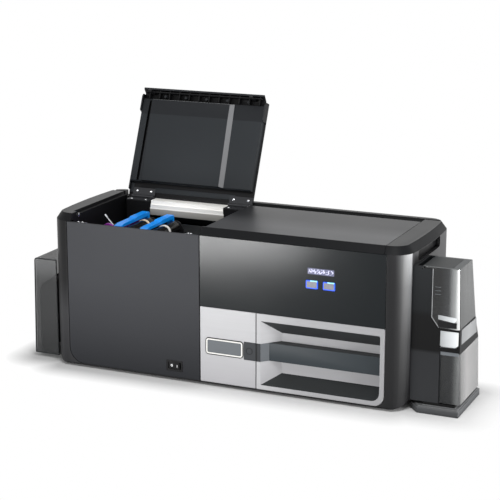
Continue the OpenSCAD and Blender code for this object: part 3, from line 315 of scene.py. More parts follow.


# %% [markdown]
# Clear smoke mouldings let the eye through but darken what is behind. Real refraction would need
# closed walls of even thickness everywhere, and it is slow and noisy. A glossy, partly transparent
# shader shows the same: a dark tint straight on and clean reflections. Walls seen on edge look
# nearly solid, so their finishes cover more. Some finishes change tone along the wall as painted
# light: a painted highlight runs down each door's round right corner, and the bin is painted paler
# towards its top.

# %% Smoke finish
def smoke(name, tint, cover, rough=0.12, coat=0.6, specular=0.5):
    """A clear tinted wall: cover is how much it hides of what is behind."""
    tree = Tree(name)
    cloud = tree.noise(20.0, 2.0)
    body = tree.add("ShaderNodeBsdfPrincipled", None, {
        "Base Color": drifting(tree, cloud, tint, 0.12), "Specular IOR Level": specular,
        "Roughness": cloud * 0.06 + rough, "Coat Weight": coat, "Coat Roughness": 0.05,
        "Alpha": cloud * 0.04 + (cover - 0.02),
    })
    return tree.close(body.out(0))


# %% [markdown]
# Each node gets its finish from one table, so a colour is set in one place, written as it looks on a
# screen. Where soft studio light makes a broad surface run from dark to pale, the colour is a fade
# along one axis. That paints the light and shade into the colour for the front view and needs fewer lamps.

# %% All finishes
finishes = {
    # Painted shade: the laminator panel darkens towards its foot.
    "graphite": plastic("graphite_plastic", ("z", (8, (38, 39, 42)), (70, (51, 52, 55)),
                        (150, (61, 62, 65)), (238, (63, 64, 67))), 0.6, grain=0.3, specular=0.1),
    "shell": plastic("end_shell_plastic", corner_tone, 0.42, grain=0.05, specular=0.32),
    # Painted reflection: the left shell is paler low down, where its round corner turns.
    "left_shell": plastic("left_shell_plastic", ("z", (10, (38, 38, 40)), (90, (50, 50, 52)),
                          (140, (16, 16, 17)), (235, (5, 5, 6))), 0.42, grain=0.05, specular=0.22),
    "hopper": plastic("hopper_plastic", ("z", (16, (44, 45, 47)), (91, (38, 39, 41)), (96, (6, 6, 7)),
                      (147, (8, 8, 9)), (156, (20, 22, 24)), (221, (30, 32, 34))), 0.45, specular=0.15),
    "cap": plastic("cap_plastic", linear(24, 25, 26), 0.4, grain=0.1, specular=0.24),
    # Painted shade: the sloped bands of the caps and of the cover's front edge.
    "band": plastic("dark_band", linear(14, 15, 17), 0.5, grain=0.05, specular=0.12),
    # Painted reflection: a pale band across the top of the cover behind its front edge.
    "cover": plastic("cover_plastic", ("y", (2, (40, 40, 42)), (12, (66, 67, 69)), (56, (70, 71, 73)),
                     (110, (28, 29, 31)), (188, (20, 21, 23))), 0.4, grain=0.1, specular=0.3),
    "black": plastic("black_plastic", linear(12, 12, 14), 0.5, specular=0.2),
    "gloss": plastic("gloss_panel", linear(9, 15, 18), 0.21, grain=0.0, drift=0.03, specular=0.25),
    "silver": plastic("silver_paint", ("z", (6, (168, 167, 170)), (70, (182, 182, 184)),
                      (126, (188, 188, 190))), 0.42, grain=0.06, drift=0.02,
                      specular=0.3, streak=0.2),
    "bezel": plastic("bezel_paint", ("x", (94, (182, 182, 184)), (160, (162, 162, 164)),
                     (299, (150, 150, 152))), 0.42, grain=0.06, drift=0.02, specular=0.3, streak=0.2),
    "recess": plastic("recess_dark", linear(44, 46, 47), 0.5, specular=0.2),
    "strip": plastic("strip_plastic", linear(52, 54, 57), 0.42, grain=0.05, specular=0.2),
    "bar": plastic("bar_plastic", linear(46, 52, 56), 0.42, grain=0.05, specular=0.2),
    "lid_outer": plastic("lid_plastic", linear(38, 40, 43), 0.5, specular=0.25),
    "lid_inner": plastic("lid_liner_plastic", linear(42, 45, 48), 0.55, specular=0.2),
    # Painted shade on the liner's front zone, painted light on the slope right of the raised field; the moulded
    # ring takes the slope's grey too.
    "lid_front": plastic("lid_liner_front", linear(31, 33, 36), 0.55, specular=0.2),
    "lid_slope": plastic("lid_liner_slope", linear(120, 121, 123), 0.5, specular=0.2),
    "blue": plastic("blue_handle", linear(0, 146, 248), 0.35, grain=0.03, drift=0.05, specular=0.4),
    "purple": plastic("purple_spool", linear(134, 12, 146), 0.3, grain=0.03, coat=0.2),
    "film": plastic("dark_film", linear(14, 13, 13), 0.25, grain=0.0, specular=0.3),
    "cream": plastic("cream_core", linear(226, 205, 178), 0.35, grain=0.0),
    "white": plastic("white_core", linear(232, 231, 226), 0.35, grain=0.0),
    "ribbon": plastic("ribbon_film", linear(40, 42, 110), 0.25, grain=0.0, coat=0.6),
    "rubber": plastic("roller_rubber", linear(30, 30, 31), 0.7, grain=0.3),
    "foot": plastic("foot_rubber", linear(24, 24, 24), 0.8, grain=0.4),
    "pale": plastic("pale_plastic", linear(206, 210, 212), 0.4, specular=0.3),
    "window": plastic("window_plastic", ("x", (371, (150, 153, 155)), (384, (186, 189, 191)),
                      (398, (206, 209, 211))), 0.4, specular=0.2),
    "side_window": plastic("side_window_plastic", ("y", (30, (112, 113, 114)), (70, (128, 129, 130)),
                           (115, (112, 113, 114))), 0.4, specular=0.2),
    # Painted shade: the hopper base darkens towards the floor, and a black band below its top edge is a painted
    # shadow of the gap under the door.
    "base": plastic("base_plastic", ("z", (0, (54, 55, 56)), (8, (74, 75, 77)), (12, (104, 105, 106)),
                    (12.6, (8, 8, 8)), (15.8, (8, 8, 8))), 0.5, specular=0.15),
    "board": plastic("board_green", linear(40, 96, 62), 0.45),
    "switch": plastic("switch_plastic", linear(9, 9, 11), 0.4, grain=0.03, specular=0.2),
    "mark": plastic("switch_mark", linear(225, 226, 228), 0.5, grain=0.0),
    "badge": plastic("badge_field", linear(96, 100, 104), 0.35, grain=0.05, specular=0.3),
    "edge_line": plastic("lit_edge", linear(150, 152, 154), 0.4, grain=0.0),
    "dark_edge": plastic("dark_edge", linear(30, 32, 34), 0.4, grain=0.0, specular=0.2),
    "steel": metal("floor_steel", linear(150, 152, 155), 0.38, 0),
    "dark_steel": metal("dark_steel", linear(34, 35, 38), 0.42, 0, metallic=0.5),
    "hinge_steel": metal("hinge_steel", linear(48, 49, 52), 0.4, 0, metallic=0.4),
    # Painted highlight: the chassis bar is white along its top, with painted shade on its lower front.
    "pale_steel": plastic("pale_steel", ("z", (217, (120, 119, 115)), (230.4, (158, 156, 151)),
                          (231.2, (255, 254, 250)), (244, (255, 254, 250))), 0.35, grain=0.0, specular=0.6),
    "bright": metal("bright_steel", linear(230, 231, 234), 0.25),
    # Painted highlights: pale bands down the round right corners of both doors.
    "smoke": smoke("smoke_door", ("x", (362, (6, 7, 8)), (374, (12, 14, 15)), (386, (48, 50, 52)),
                   (396, (156, 158, 158)), (399, (205, 206, 206))), 0.74),
    "smoke_low": smoke("smoke_low_door", ("x", (376, (16, 18, 20)), (394, (26, 29, 31)),
                       (403, (110, 112, 112)), (406, (84, 85, 86))), 0.66),
    "smoke_side": smoke("smoke_door_side", ("y", (24, (20, 22, 23)), (40, (30, 32, 33)), (60, (52, 54, 54)),
                        (64, (18, 20, 21)), (68, (50, 52, 52)), (84, (44, 46, 47)), (87, (16, 18, 19)),
                        (90, (46, 48, 49)), (122, (36, 38, 39))), 0.95, coat=0.1),
    "low_side": smoke("low_door_side", ("y", (24, (70, 71, 71)), (60, (128, 127, 127)),
                      (122, (110, 110, 110))), 0.95, coat=0.1),
    "smoke_top": smoke("smoke_door_top", linear(84, 87, 88), 0.97, 0.4, coat=0.0, specular=0.2),
    "smoke_inset": smoke("smoke_door_inset", linear(28, 31, 32), 0.97, 0.4, coat=0.0, specular=0.2),
    # Painted light: the bin's front is paler near its top, and its top face is pale.
    "smoke_bin": smoke("smoke_bin", ("z", (8, (46, 47, 48)), (80, (52, 53, 54)), (132, (52, 53, 54)),
                       (150, (92, 93, 94)), (166, (104, 105, 106))), 0.6),
    "smoke_lid": smoke("smoke_bin_top", linear(170, 171, 171), 0.85),
}
node_finish = {
    "base_tray": "black", "rubber_feet": "foot", "left_end_shell": "left_shell",
    "right_end_shell": "shell", "rear_cover": "cap", "laminator_front_panel": "graphite",
    "printer_front_panel": "gloss", "badge_tile": "silver", "output_bezel": "silver",
    "accent_bar": "strip", "display_module": "board", "switch_frame": "switch",
    "chassis_tray": "steel", "bay_divider": "black", "laminator_frame": "dark_steel",
    "printer_frame": "steel", "chassis_bar": "pale_steel", "hinge_mounts": "black",
    "hinge_lower_leaves": "hinge_steel", "hinge_pins": "bright", "lower_hinge_screws": "bright",
    "cover_hinge_brackets": "black", "lid_catches": "bright", "power_inlet": "black",
    "data_ports": "steel", "lid_shell": "lid_outer", "lid_liner": "lid_inner",
    "hinge_upper_leaves": "hinge_steel", "upper_hinge_screws": "bright",
    "printer_cover": "cover", "printhead": "steel",
    "power_rocker": "switch", "cartridge_frame_1": "black", "cartridge_handle_1": "blue",
    "supply_roll_1": "film", "takeup_spool_1": "purple", "cartridge_frame_2": "black",
    "cartridge_handle_2": "blue", "supply_roll_2": "film", "takeup_spool_2": "film",
    "heated_roller": "rubber", "pressure_roller": "rubber", "platen_roller": "rubber",
    "feed_roller": "rubber", "ribbon_supply": "ribbon", "ribbon_takeup": "ribbon",
    "release_lever": "steel", "hopper_frame": "hopper", "hopper_base": "base",
    "feed_housing": "pale", "upper_hopper_door": "smoke", "lower_hopper_door": "smoke_low",
    "card_weight": "pale", "output_hopper": "smoke_bin", "card_chute": "black",
}


def dress(node, material):
    """Put one finish on a CAD node's own slots."""
    data = nodes[node].data
    data.materials.clear()
    data.materials.append(material)


for name, finish in node_finish.items():
    dress(name, finishes[finish])
print(len(finishes), "finishes on", len(node_finish), "nodes")

# %% [markdown]
# ## Display and keys
#
# The display is a small back-lit window of tiny cells, some dark and some lit. Each key is grey in
# its middle, and blue light leaks round its rim. A pale cyan band along the top of the rim, right of
# the middle, is a painted highlight. A picture could show this, but it can be worked out: masks
# compare a point's distance from the middle of the face with the rim's width, and the emission takes
# its colour from them.

# %% Display and keys
def window_place(tree, node):
    """How far across and up a point of the node's face lies, from 0 to 1, and its size."""
    low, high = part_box(node)
    split = tree.add("ShaderNodeSeparateXYZ", None, {0: tree.place()})
    across = (split.out(0) - low[0]) / (high[0] - low[0])
    up = (split.out(2) - low[2]) / (high[2] - low[2])
    return across, up, high - low


def glowing(tree, colour, strength):
    shader = tree.add("ShaderNodeBsdfPrincipled", None, {
        "Base Color": colour, "Roughness": 0.25, "Coat Weight": 0.3, "Coat Roughness": 0.1,
        "Emission Color": colour, "Emission Strength": strength,
    })
    return tree.close(shader.out(0))


CELL_SCALE = (440.0, 1.0, 360.0)
KEY_RIM_MM = 2.8


def display_finish():
    tree = Tree("display_glow")
    across, up, _ = window_place(tree, "display_lens")
    inner = ((up - 0.5).absolute() < 0.36) * ((across - 0.5).absolute() < 0.47)
    lit = (tree.stretched(CELL_SCALE, 0.0, 0.5) > 0.55) * inner
    return glowing(tree, tree.mix(lit, linear(84, 86, 116), linear(196, 196, 226)), 0.25)


def key_finish(node):
    tree = Tree(node + "_glow")
    across, up, size = window_place(tree, node)
    rim_across, rim_up = KEY_RIM_MM * MM / size[0], KEY_RIM_MM * MM / size[2]
    side = (across - 0.5).absolute() > 0.5 - rim_across
    rim = side.highest((up - 0.5).absolute() > 0.5 - rim_up)
    # A painted highlight along the top of the rim, right of the middle.
    painted_highlight = (up > 1 - rim_up) * ((across - 0.64).absolute() < 0.26)
    grey = tree.mix(tree.noise(700.0, 1.0), linear(92, 92, 104), linear(128, 126, 130))
    blue = tree.mix(painted_highlight, linear(22, 84, 236), linear(150, 224, 252))
    return glowing(tree, tree.mix(rim, grey, blue), 0.3)


dress("display_lens", display_finish())
for name in ("key_left", "key_right"):
    finishes[name] = key_finish(name)
    node_finish[name] = name
    dress(name, finishes[name])
print("display and keys glow")

# %% [markdown]
# ## Places and shapes
#
# Pieces are laid out in millimetres from the seam between the two halves, the front panels and the
# table, as a fitter would measure them. A small class collects closed solids in one mesh: an outline
# drawn out along an axis, a box, or a turned body. Cubes and cylinders from the menu would do, but each
# would need its own modifiers, and the object count would grow quickly.

# %% Places and shapes
SEAM = Vector((seam_x, front_y, 0.0))
ORDER = {
    "x": lambda u, v, w: (w, u, v),
    "y": lambda u, v, w: (u, w, v),
    "z": lambda u, v, w: (u, v, w),
}


def at(x, y, z):
    """A point given in millimetres from the seam, the front panels and the table."""
    return SEAM + Vector((x, y, z)) * MM


def arc(cx, cy, radius, start, end, steps=6):
    """Points of an arc, with its angles in degrees."""
    angles = [math.radians(start + (end - start) * i / steps) for i in range(steps + 1)]
    return [(cx + radius * math.cos(a), cy + radius * math.sin(a)) for a in angles]


def rounded(x0, x1, y0, y1, radius, steps=6):
    """Outline of a rectangle with round corners."""
    return (arc(x0 + radius, y0 + radius, radius, 180, 270, steps)
            + arc(x1 - radius, y0 + radius, radius, 270, 360, steps)
            + arc(x1 - radius, y1 - radius, radius, 0, 90, steps)
            + arc(x0 + radius, y1 - radius, radius, 90, 180, steps))


class Shape:
    """Closed solids in one mesh."""

    def __init__(self):
        self.mesh = bmesh.new()

    def drawn(self, points, axis, start, end, bevel=0.0):
        """An outline drawn out along an axis, with its edges rounded."""
        near = [self.mesh.verts.new(at(*ORDER[axis](u, v, start))) for u, v in points]
        far = [self.mesh.verts.new(at(*ORDER[axis](u, v, end))) for u, v in points]
        faces = [self.mesh.faces.new(near), self.mesh.faces.new(far[::-1])]
        for i in range(len(points)):
            j = (i + 1) % len(points)
            faces.append(self.mesh.faces.new((near[j], near[i], far[i], far[j])))
        if bevel:
            edges = list({edge for face in faces[:2] for edge in face.edges})
            if len(points) < 8:
                edges = list({edge for face in faces for edge in face.edges})
            bmesh.ops.bevel(self.mesh, geom=edges, offset=bevel * MM, segments=2,
                            affect="EDGES", profile=0.5, clamp_overlap=True)
        return self

    def box(self, x0, x1, y0, y1, z0, z1, bevel=0.0):
        return self.drawn([(x0, z0), (x1, z0), (x1, z1), (x0, z1)], "y", y0, y1, bevel)

    def frame(self, outer, inner, axis, start, end):
        """A rim between two outlines that have the same number of points."""
        rows = [[self.mesh.verts.new(at(*ORDER[axis](u, v, w))) for u, v in points]
                for points, w in ((outer, start), (outer, end), (inner, end), (inner, start))]
        count = len(outer)
        for k in range(4):
            for i in range(count):
                j = (i + 1) % count
                one, two = rows[k], rows[(k + 1) % 4]
                self.mesh.faces.new((one[i], one[j], two[j], two[i]))
        return self

    def turned(self, profile, centre, axis, steps=40):
        """A body turned about an axis: the profile holds (radius, place along the axis)."""
        rings = []
        for radius, along in profile:
            ring = []
            for i in range(steps if radius else 1):
                a = 2 * math.pi * i / steps
                u, v = radius * math.cos(a), radius * math.sin(a)
                x, y, z = ORDER[axis](u, v, along)
                ring.append(self.mesh.verts.new(at(centre[0] + x, centre[1] + y, centre[2] + z)))
            rings.append(ring)
        for one, two in zip(rings, rings[1:]):
            for i in range(steps):
                j = (i + 1) % steps
                corners = [one[i % len(one)], one[j % len(one)], two[j % len(two)], two[i % len(two)]]
                self.mesh.faces.new(list(dict.fromkeys(corners)))
        return self

    def data(self, name):
        """The solids as mesh data, with their faces turned outwards."""
        bmesh.ops.recalc_face_normals(self.mesh, faces=self.mesh.faces)
        data = bpy.data.meshes.new(name)
        self.mesh.to_mesh(data)
        self.mesh.free()
        return data

    def finish(self, name, body, slot, look, turn=None):
        """Close the mesh, place it and tie it to its body."""
        data = self.data(name)
        if turn:
            data.transform(turn)
        data.materials.append(finishes[look])
        settle(name, data, body)


def settle(name, data, body, sharp=35.0):
    """Smooth a mesh up to an angle and let it ride on its body."""
    data.shade_smooth()
    data.set_sharp_from_angle(angle=math.radians(sharp))
    made = bpy.data.objects.new(name, data)
    bpy.context.scene.collection.objects.link(made)
    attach(made, body)
    return made


# %% [markdown]
# ## Softened mouldings
#
# No moulded edge is perfectly sharp, and the thin bright lines in the picture are those round edges
# catching a lamp. The CAD nodes are exact but sharp, and they come as loose triangles. So each visible
# moulding is copied, its triangles are joined into flat faces again, and a Bevel modifier rounds the
# edges. The copy then stands for the node.

# %% Softened mouldings
node_body = {}
for body_name, members in frame["record"]["behaviour"]["bodies"].items():
    for member in members:
        node_body[member] = body_name
WELD_DISTANCE = 1e-6
FLAT_ANGLE, SHARP_ANGLE, BEVEL_ANGLE = 0.8, 30.0, 25.0


def softened(node, width):
    """A copy of a CAD node with joined faces and rounded edges, which stands for the node."""
    mesh = bmesh.new()
    mesh.from_mesh(nodes[node].data)
    bmesh.ops.remove_doubles(mesh, verts=mesh.verts, dist=WELD_DISTANCE)
    bmesh.ops.dissolve_limit(mesh, angle_limit=math.radians(FLAT_ANGLE), verts=mesh.verts,
                             edges=mesh.edges)
    if node in round_corners:
        reach_x, reach_y, radius = round_corners[node]
        corner = []
        for edge in mesh.edges:
            one, two = [(vert.co - SEAM) / MM for vert in edge.verts]
            upright = abs(one.z - two.z) > 20 and abs(one.y - two.y) < 1
            if upright and reach_x[0] < (one.x + two.x) / 2 < reach_x[1] and one.y < reach_y:
                corner.append(edge)
        bmesh.ops.bevel(mesh, geom=corner, offset=radius * MM, segments=6, affect="EDGES", profile=0.5)
    data = bpy.data.meshes.new(node + ".soft")
    data.materials.append(finishes[node_finish[node]])
    if node in face_finish:
        choose, others = face_finish[node]
        for other in others:
            data.materials.append(finishes[other])
        turn = UNFOLD if node_body[node] == "lid" else Matrix()
        for face in mesh.faces:
            place = (turn @ face.calc_center_median() - SEAM) / MM
            other = choose(place, turn.to_3x3() @ face.normal)
            face.material_index = others.index(other) + 1 if other else 0
    mesh.to_mesh(data)
    mesh.free()
    made = settle(node + ".soft", data, node_body[node], SHARP_ANGLE)
    rounding = made.modifiers.new("rounding", "BEVEL")
    rounding.width = width * MM
    rounding.segments = 2
    rounding.limit_method = "ANGLE"
    rounding.angle_limit = math.radians(BEVEL_ANGLE)
    rounding.harden_normals = True
    rounding.use_clamp_overlap = True
    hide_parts(node)


# %% [markdown]
# One moulding often shows two tones: the recess is silver at its back and dark above and below, and
# the lid's skin is black behind its lip. Other faces take a tone by the way they face the lamps, as
# painted light and shade: the sloped bands of the caps and the cover, the inner side of the left rim,
# the grip slot, the groove, slope and front zone of the liner, and the sides and tops of the clear
# doors and the bin. It is one piece, so it isn't cut up: each face of the copy picks a finish from its
# place and its normal. The lid's faces are first turned back to the closed lid, where its walls are
# square to the axes.

# %% Faces with a finish of their own
joints = {joint["name"]: joint for joint in frame["joints"]}
lid_axis = Vector(joints["lid_hinge"]["pos_m"])
lid_angle = math.radians(max(abs(a) for a in joints["lid_hinge"]["range_deg"]))
FOLD = (Matrix.Translation(lid_axis) @ Matrix.Rotation(-lid_angle, 4, "X")
        @ Matrix.Translation(-lid_axis))
UNFOLD = FOLD.inverted()
GRIP_X = (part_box("right_end_shell")[1][0] - seam_x) / MM
RECESS_X = 101.0


def bezel_face(place, normal):
    """The roof and the floor of the recess are dark, its back and its sides stay silver."""
    if normal.y < -0.9 and place.y < 0.5:
        return "bezel"
    inside = place.y > 0.5 and place.x > RECESS_X
    return "recess" if inside and abs(normal.z) > 0.5 and abs(normal.y) < 0.9 else None


def bar_face(place, normal):
    if place.x > RECESS_X + 8 and place.y > 5:
        return "recess" if abs(normal.z) > 0.5 else "bar"
    return None


def lid_face(place, normal):
    """Black behind the lip and under the skin, the lid's own colour outside."""
    behind = normal.z < 0.3 and 3.4 < place.y < 20
    under = normal.z < -0.5 and place.z > 246
    walls = abs(normal.x) > 0.9 and place.z < 247 and place.y > 3
    return "black" if behind or under or walls else None


def liner_face(place, normal):
    """A groove left of the raised field painted black as shade, a slope right of it painted light, and a front
    zone painted darker as shade.
    """
    if -210 < place.x < -200 and (abs(normal.x) > 0.3 or place.z > 240):
        return "black"
    if -62 < place.x < -44 and normal.x > 0.25:
        return "lid_slope"
    return "lid_front" if place.y < 46 else None


def grip_face(place, normal):
    # The inside of the grip slot is painted black, as shade in the recess.
    slot = 43 < place.y < 147 and 221 < place.z < 238.6
    return "black" if slot and GRIP_X - 16 < place.x < GRIP_X - 0.5 and abs(normal.x) < 0.95 or (
        slot and place.x < GRIP_X - 6) else None


def sloped(place, normal):
    """True on the band that slopes from the walls to the top."""
    return place.z > 238 and 0.15 < normal.z < 0.95


def rim_face(place, normal):
    """The inner side of the left rim faces the bay; it and the floors inside the rim are painted black, as the
    bay's shade.
    """
    if normal.x > 0.7 or (place.y > 15 and place.z < 246 and normal.z > 0.7):
        return "black"
    if sloped(place, normal):
        return "band"
    return "cap" if normal.z > 0.95 and place.z > 249 else None


def cap_face(place, normal):
    # The sloped band is painted darker, as shade.
    if sloped(place, normal):
        return "band"
    return "cap" if normal.z > 0.95 and place.z > 249 else grip_face(place, normal)


def cover_face(place, normal):
    # The sloped front edge of the cover is painted darker, as shade.
    return "band" if sloped(place, normal) and place.y < 12 else None


def door_face(place, normal):
    """Tones by the way each face turns, as painted light: dark in front, paler at the side, darkest on top."""
    if normal.x > 0.8:
        return "smoke_side"
    return "smoke_top" if normal.z > 0.8 and place.z > 219 else None


def low_door_face(place, normal):
    # The lower door's side is painted paler, as light.
    return "low_side" if normal.x > 0.8 and place.x > 390 else None


def bin_face(place, normal):
    # The bin's top face is painted pale, as light.
    return "smoke_lid" if normal.z > 0.5 else None


def roll_face(place, normal):
    """Dark film between the pale ends of its core."""
    return "cream" if abs(normal.y) > 0.9 else None


face_finish = {
    "output_bezel": (bezel_face, ["bezel", "recess"]),
    "accent_bar": (bar_face, ["bar", "recess"]),
    "lid_shell": (lid_face, ["black"]),
    "lid_liner": (liner_face, ["black", "lid_slope", "lid_front"]),
    "right_end_shell": (cap_face, ["black", "band", "cap"]),
    "left_end_shell": (rim_face, ["black", "band", "cap"]),
    "printer_cover": (cover_face, ["band"]),
    "upper_hopper_door": (door_face, ["smoke_side", "smoke_top"]),
    "lower_hopper_door": (low_door_face, ["low_side"]),
    "output_hopper": (bin_face, ["smoke_lid"]),
    "supply_roll_1": (roll_face, ["cream"]),
    "supply_roll_2": (roll_face, ["cream"]),
}

round_corners = {
    "upper_hopper_door": ((396, 408), 25, 4.5), "lower_hopper_door": ((396, 410), 25, 4.5),
}

# %% Round the mouldings
soft_edges = {
    "laminator_front_panel": 0.6, "printer_front_panel": 0.5, "badge_tile": 0.5, "output_bezel": 0.5,
    "accent_bar": 0.4, "left_end_shell": 0.6, "right_end_shell": 0.6, "rear_cover": 0.6,
    "lid_shell": 0.5, "lid_liner": 0.6, "printer_cover": 0.7, "chassis_bar": 0.25,
    "hopper_frame": 0.4, "hopper_base": 0.8, "feed_housing": 0.5, "upper_hopper_door": 0.9,
    "lower_hopper_door": 0.9, "card_weight": 0.5, "output_hopper": 0.5, "key_left": 0.5,
    "key_right": 0.5, "cartridge_handle_1": 0.6, "cartridge_handle_2": 0.6,
    "hinge_mounts": 0.5, "power_rocker": 0.3, "switch_frame": 0.2, "supply_roll_1": 0.2,
    "supply_roll_2": 0.2,
}
for node, width in soft_edges.items():
    softened(node, width)
print("softened", len(soft_edges), "mouldings")

# %% [markdown]
# ## What repeats
#
# Screws, bosses and scale marks come in rows. A small Geometry Nodes tree makes a row: it sets a copy
# of one shape on each point of a line, makes the copies real and gives them their finish. Copying in
# a Python loop would work too, but the tree keeps shape, count and step as named inputs.

# %% Row of copies
def row_tree():
    tree = bpy.data.node_groups.new("row_of_copies", "GeometryNodeTree")
    face = tree.interface
    face.new_socket("Shape", in_out="INPUT", socket_type="NodeSocketGeometry")
    face.new_socket("Count", in_out="INPUT", socket_type="NodeSocketInt")
    face.new_socket("Step", in_out="INPUT", socket_type="NodeSocketVector")
    face.new_socket("Finish", in_out="INPUT", socket_type="NodeSocketMaterial")
    face.new_socket("Row", in_out="OUTPUT", socket_type="NodeSocketGeometry")
    source = tree.nodes.new("NodeGroupInput")
    result = tree.nodes.new("NodeGroupOutput")
    line = tree.nodes.new("GeometryNodeMeshLine")
    line.mode = "OFFSET"
    copies = tree.nodes.new("GeometryNodeInstanceOnPoints")
    real = tree.nodes.new("GeometryNodeRealizeInstances")
    finish = tree.nodes.new("GeometryNodeSetMaterial")
    tree.links.new(source.outputs["Count"], line.inputs["Count"])
    tree.links.new(source.outputs["Step"], line.inputs["Offset"])
    tree.links.new(line.outputs[0], copies.inputs["Points"])
    tree.links.new(source.outputs["Shape"], copies.inputs["Instance"])
    tree.links.new(copies.outputs[0], real.inputs[0])
    tree.links.new(real.outputs[0], finish.inputs["Geometry"])
    tree.links.new(source.outputs["Finish"], finish.inputs["Material"])
    tree.links.new(finish.outputs[0], result.inputs[0])
    return tree


ROW_TREE = row_tree()
ROW_INPUTS = {item.name: item.identifier for item in ROW_TREE.interface.items_tree
              if item.in_out == "INPUT"}


def row(name, shape, count, step, body, look, turn=None):
    """A row of copies of a shape, with the step in millimetres, as one plain mesh."""
    holder = bpy.data.objects.new(name + ".holder", shape.data(name + ".one"))
    bpy.context.scene.collection.objects.link(holder)
    modifier = holder.modifiers.new("row", "NODES")
    modifier.node_group = ROW_TREE
    modifier[ROW_INPUTS["Count"]] = count
    modifier[ROW_INPUTS["Step"]] = [c * MM for c in step]
    modifier[ROW_INPUTS["Finish"]] = finishes[look]
    ready = holder.evaluated_get(bpy.context.evaluated_depsgraph_get())
    data = bpy.data.meshes.new_from_object(ready)
    data.name = name
    holder.modifiers.remove(modifier)
    bpy.data.objects.remove(holder)
    if turn:
        data.transform(turn)
    settle(name, data, body)


print("row inputs:", ", ".join(ROW_INPUTS))

# %% [markdown]
# ## Badge place and seams
#
# On the silver tile sits a small plate: a black surround, a pale rim and a grey field. Beside it,
# pressed into the strip, is a round spot. Each could be cut into the panel, but a thin solid set on
# it keeps the panel whole. The seam between tile and bezel is painted dark: a black strip lies in it
# as painted shade, and the strip's grey runs on over the slanted wall of the recess to the bar.

# %% Badge place
def circle(cx, cy, radius, steps=32):
    return arc(cx, cy, radius, 0, 360 - 360 / steps, steps - 1)


BADGE_X0, BADGE_X1 = 10.0, 73.5
BADGE_Z0, BADGE_Z1 = 52.0, 79.0
SURROUND, RIM = 1.4, 2.0


def badge_outline(inset, radius):
    return rounded(BADGE_X0 + inset, BADGE_X1 - inset, BADGE_Z0 + inset, BADGE_Z1 - inset, radius)


Shape().drawn(badge_outline(0, 5.2), "y", -0.9, 0.2, 0.25).finish(
    "badge_surround", "casing", "gloss_black", "black")
Shape().frame(badge_outline(SURROUND, 3.8), badge_outline(SURROUND + RIM, 2.0), "y", -1.4, -0.8).finish(
    "badge_rim", "casing", "silver_paint", "white")
Shape().drawn(badge_outline(SURROUND + RIM - 0.1, 2.0), "y", -1.1, -0.8).finish(
    "badge_field", "casing", "strip_grey", "badge")
Shape().frame(circle(83, 65, 5.4), circle(83, 65, 4.5), "y", -0.18, 0.2).finish(
    "spot_ring", "casing", "strip_grey", "dark_edge")
print("badge plate set")

# %% Seam strips
TILE_SEAM = 94.375
# A black strip in the seam between tile and bezel: painted shade.
seam_strip = Shape().box(TILE_SEAM - 0.7, TILE_SEAM + 0.7, -0.1, 1.2, 7.2, 126.2)
seam_strip.finish("tile_seam", "casing", "black_plastic", "black")

WALL_FOOT, WALL_HEAD = (101.8, 0.0), (111.5, 11.0)
Shape().drawn([(WALL_FOOT[0] + 0.15, -0.12), (WALL_HEAD[0] + 0.3, WALL_HEAD[1] + 0.1),
               (WALL_HEAD[0] - 0.3, WALL_HEAD[1] + 0.4), (WALL_FOOT[0] - 0.4, 0.3)], "z", 50.7, 78.9).finish(
    "bar_wrap", "casing", "strip_grey", "badge")
Shape().box(94.9, 96.2, -0.12, 0.2, 50.7, 78.9).finish(
    "bar_seam", "casing", "strip_grey", "dark_edge")
print("seams set")

# %% [markdown]
# ## Switch marks
#
# A rocker switch carries a ring at one end and a bar at the other. Each mark is set on the rocker's
# own surface: a ray from the front finds how deep the face lies there.

# %% Switch marks
def front_of(node, x, z):
    """Place of the node's front face at x and z, in millimetres behind the panels."""
    mesh = nodes[node].data
    tree = BVHTree.FromPolygons([v.co for v in mesh.vertices], [f.vertices for f in mesh.polygons])
    hit = tree.ray_cast(at(x, -50, z), Vector((0, 1, 0)))[0]
    return (hit - SEAM).y / MM


ring_x, bar_x, mark_z = -49.2, -39.2, 24.6
ring_y, bar_y = front_of("power_rocker", ring_x, mark_z), front_of("power_rocker", bar_x, mark_z)
Shape().frame(circle(ring_x, mark_z, 2.0), circle(ring_x, mark_z, 0.7), "y", ring_y - 0.12,
              ring_y + 0.8).finish("off_mark", "rocker", "black_plastic", "mark")
Shape().drawn(rounded(bar_x - 0.6, bar_x + 0.6, mark_z - 2, mark_z + 2, 0.3), "y", bar_y - 0.12,
              bar_y + 0.8).finish("on_mark", "rocker", "black_plastic", "mark")
print("rocker face at", round(ring_y, 2), round(bar_y, 2))

# %% [markdown]
# ## Lid details
#
# The inside of the lid shows a narrow bright edge where the raised field begins, a painted highlight,
# a moulded ring, grey flanges on an otherwise black skin and a row of bosses behind the lip. They are
# drawn for the closed lid and then folded open about the hinge, so they stay parallel to the skin.

# %% Lid details
SKIN_Z = 247.5
FIELD_Z = 235.0
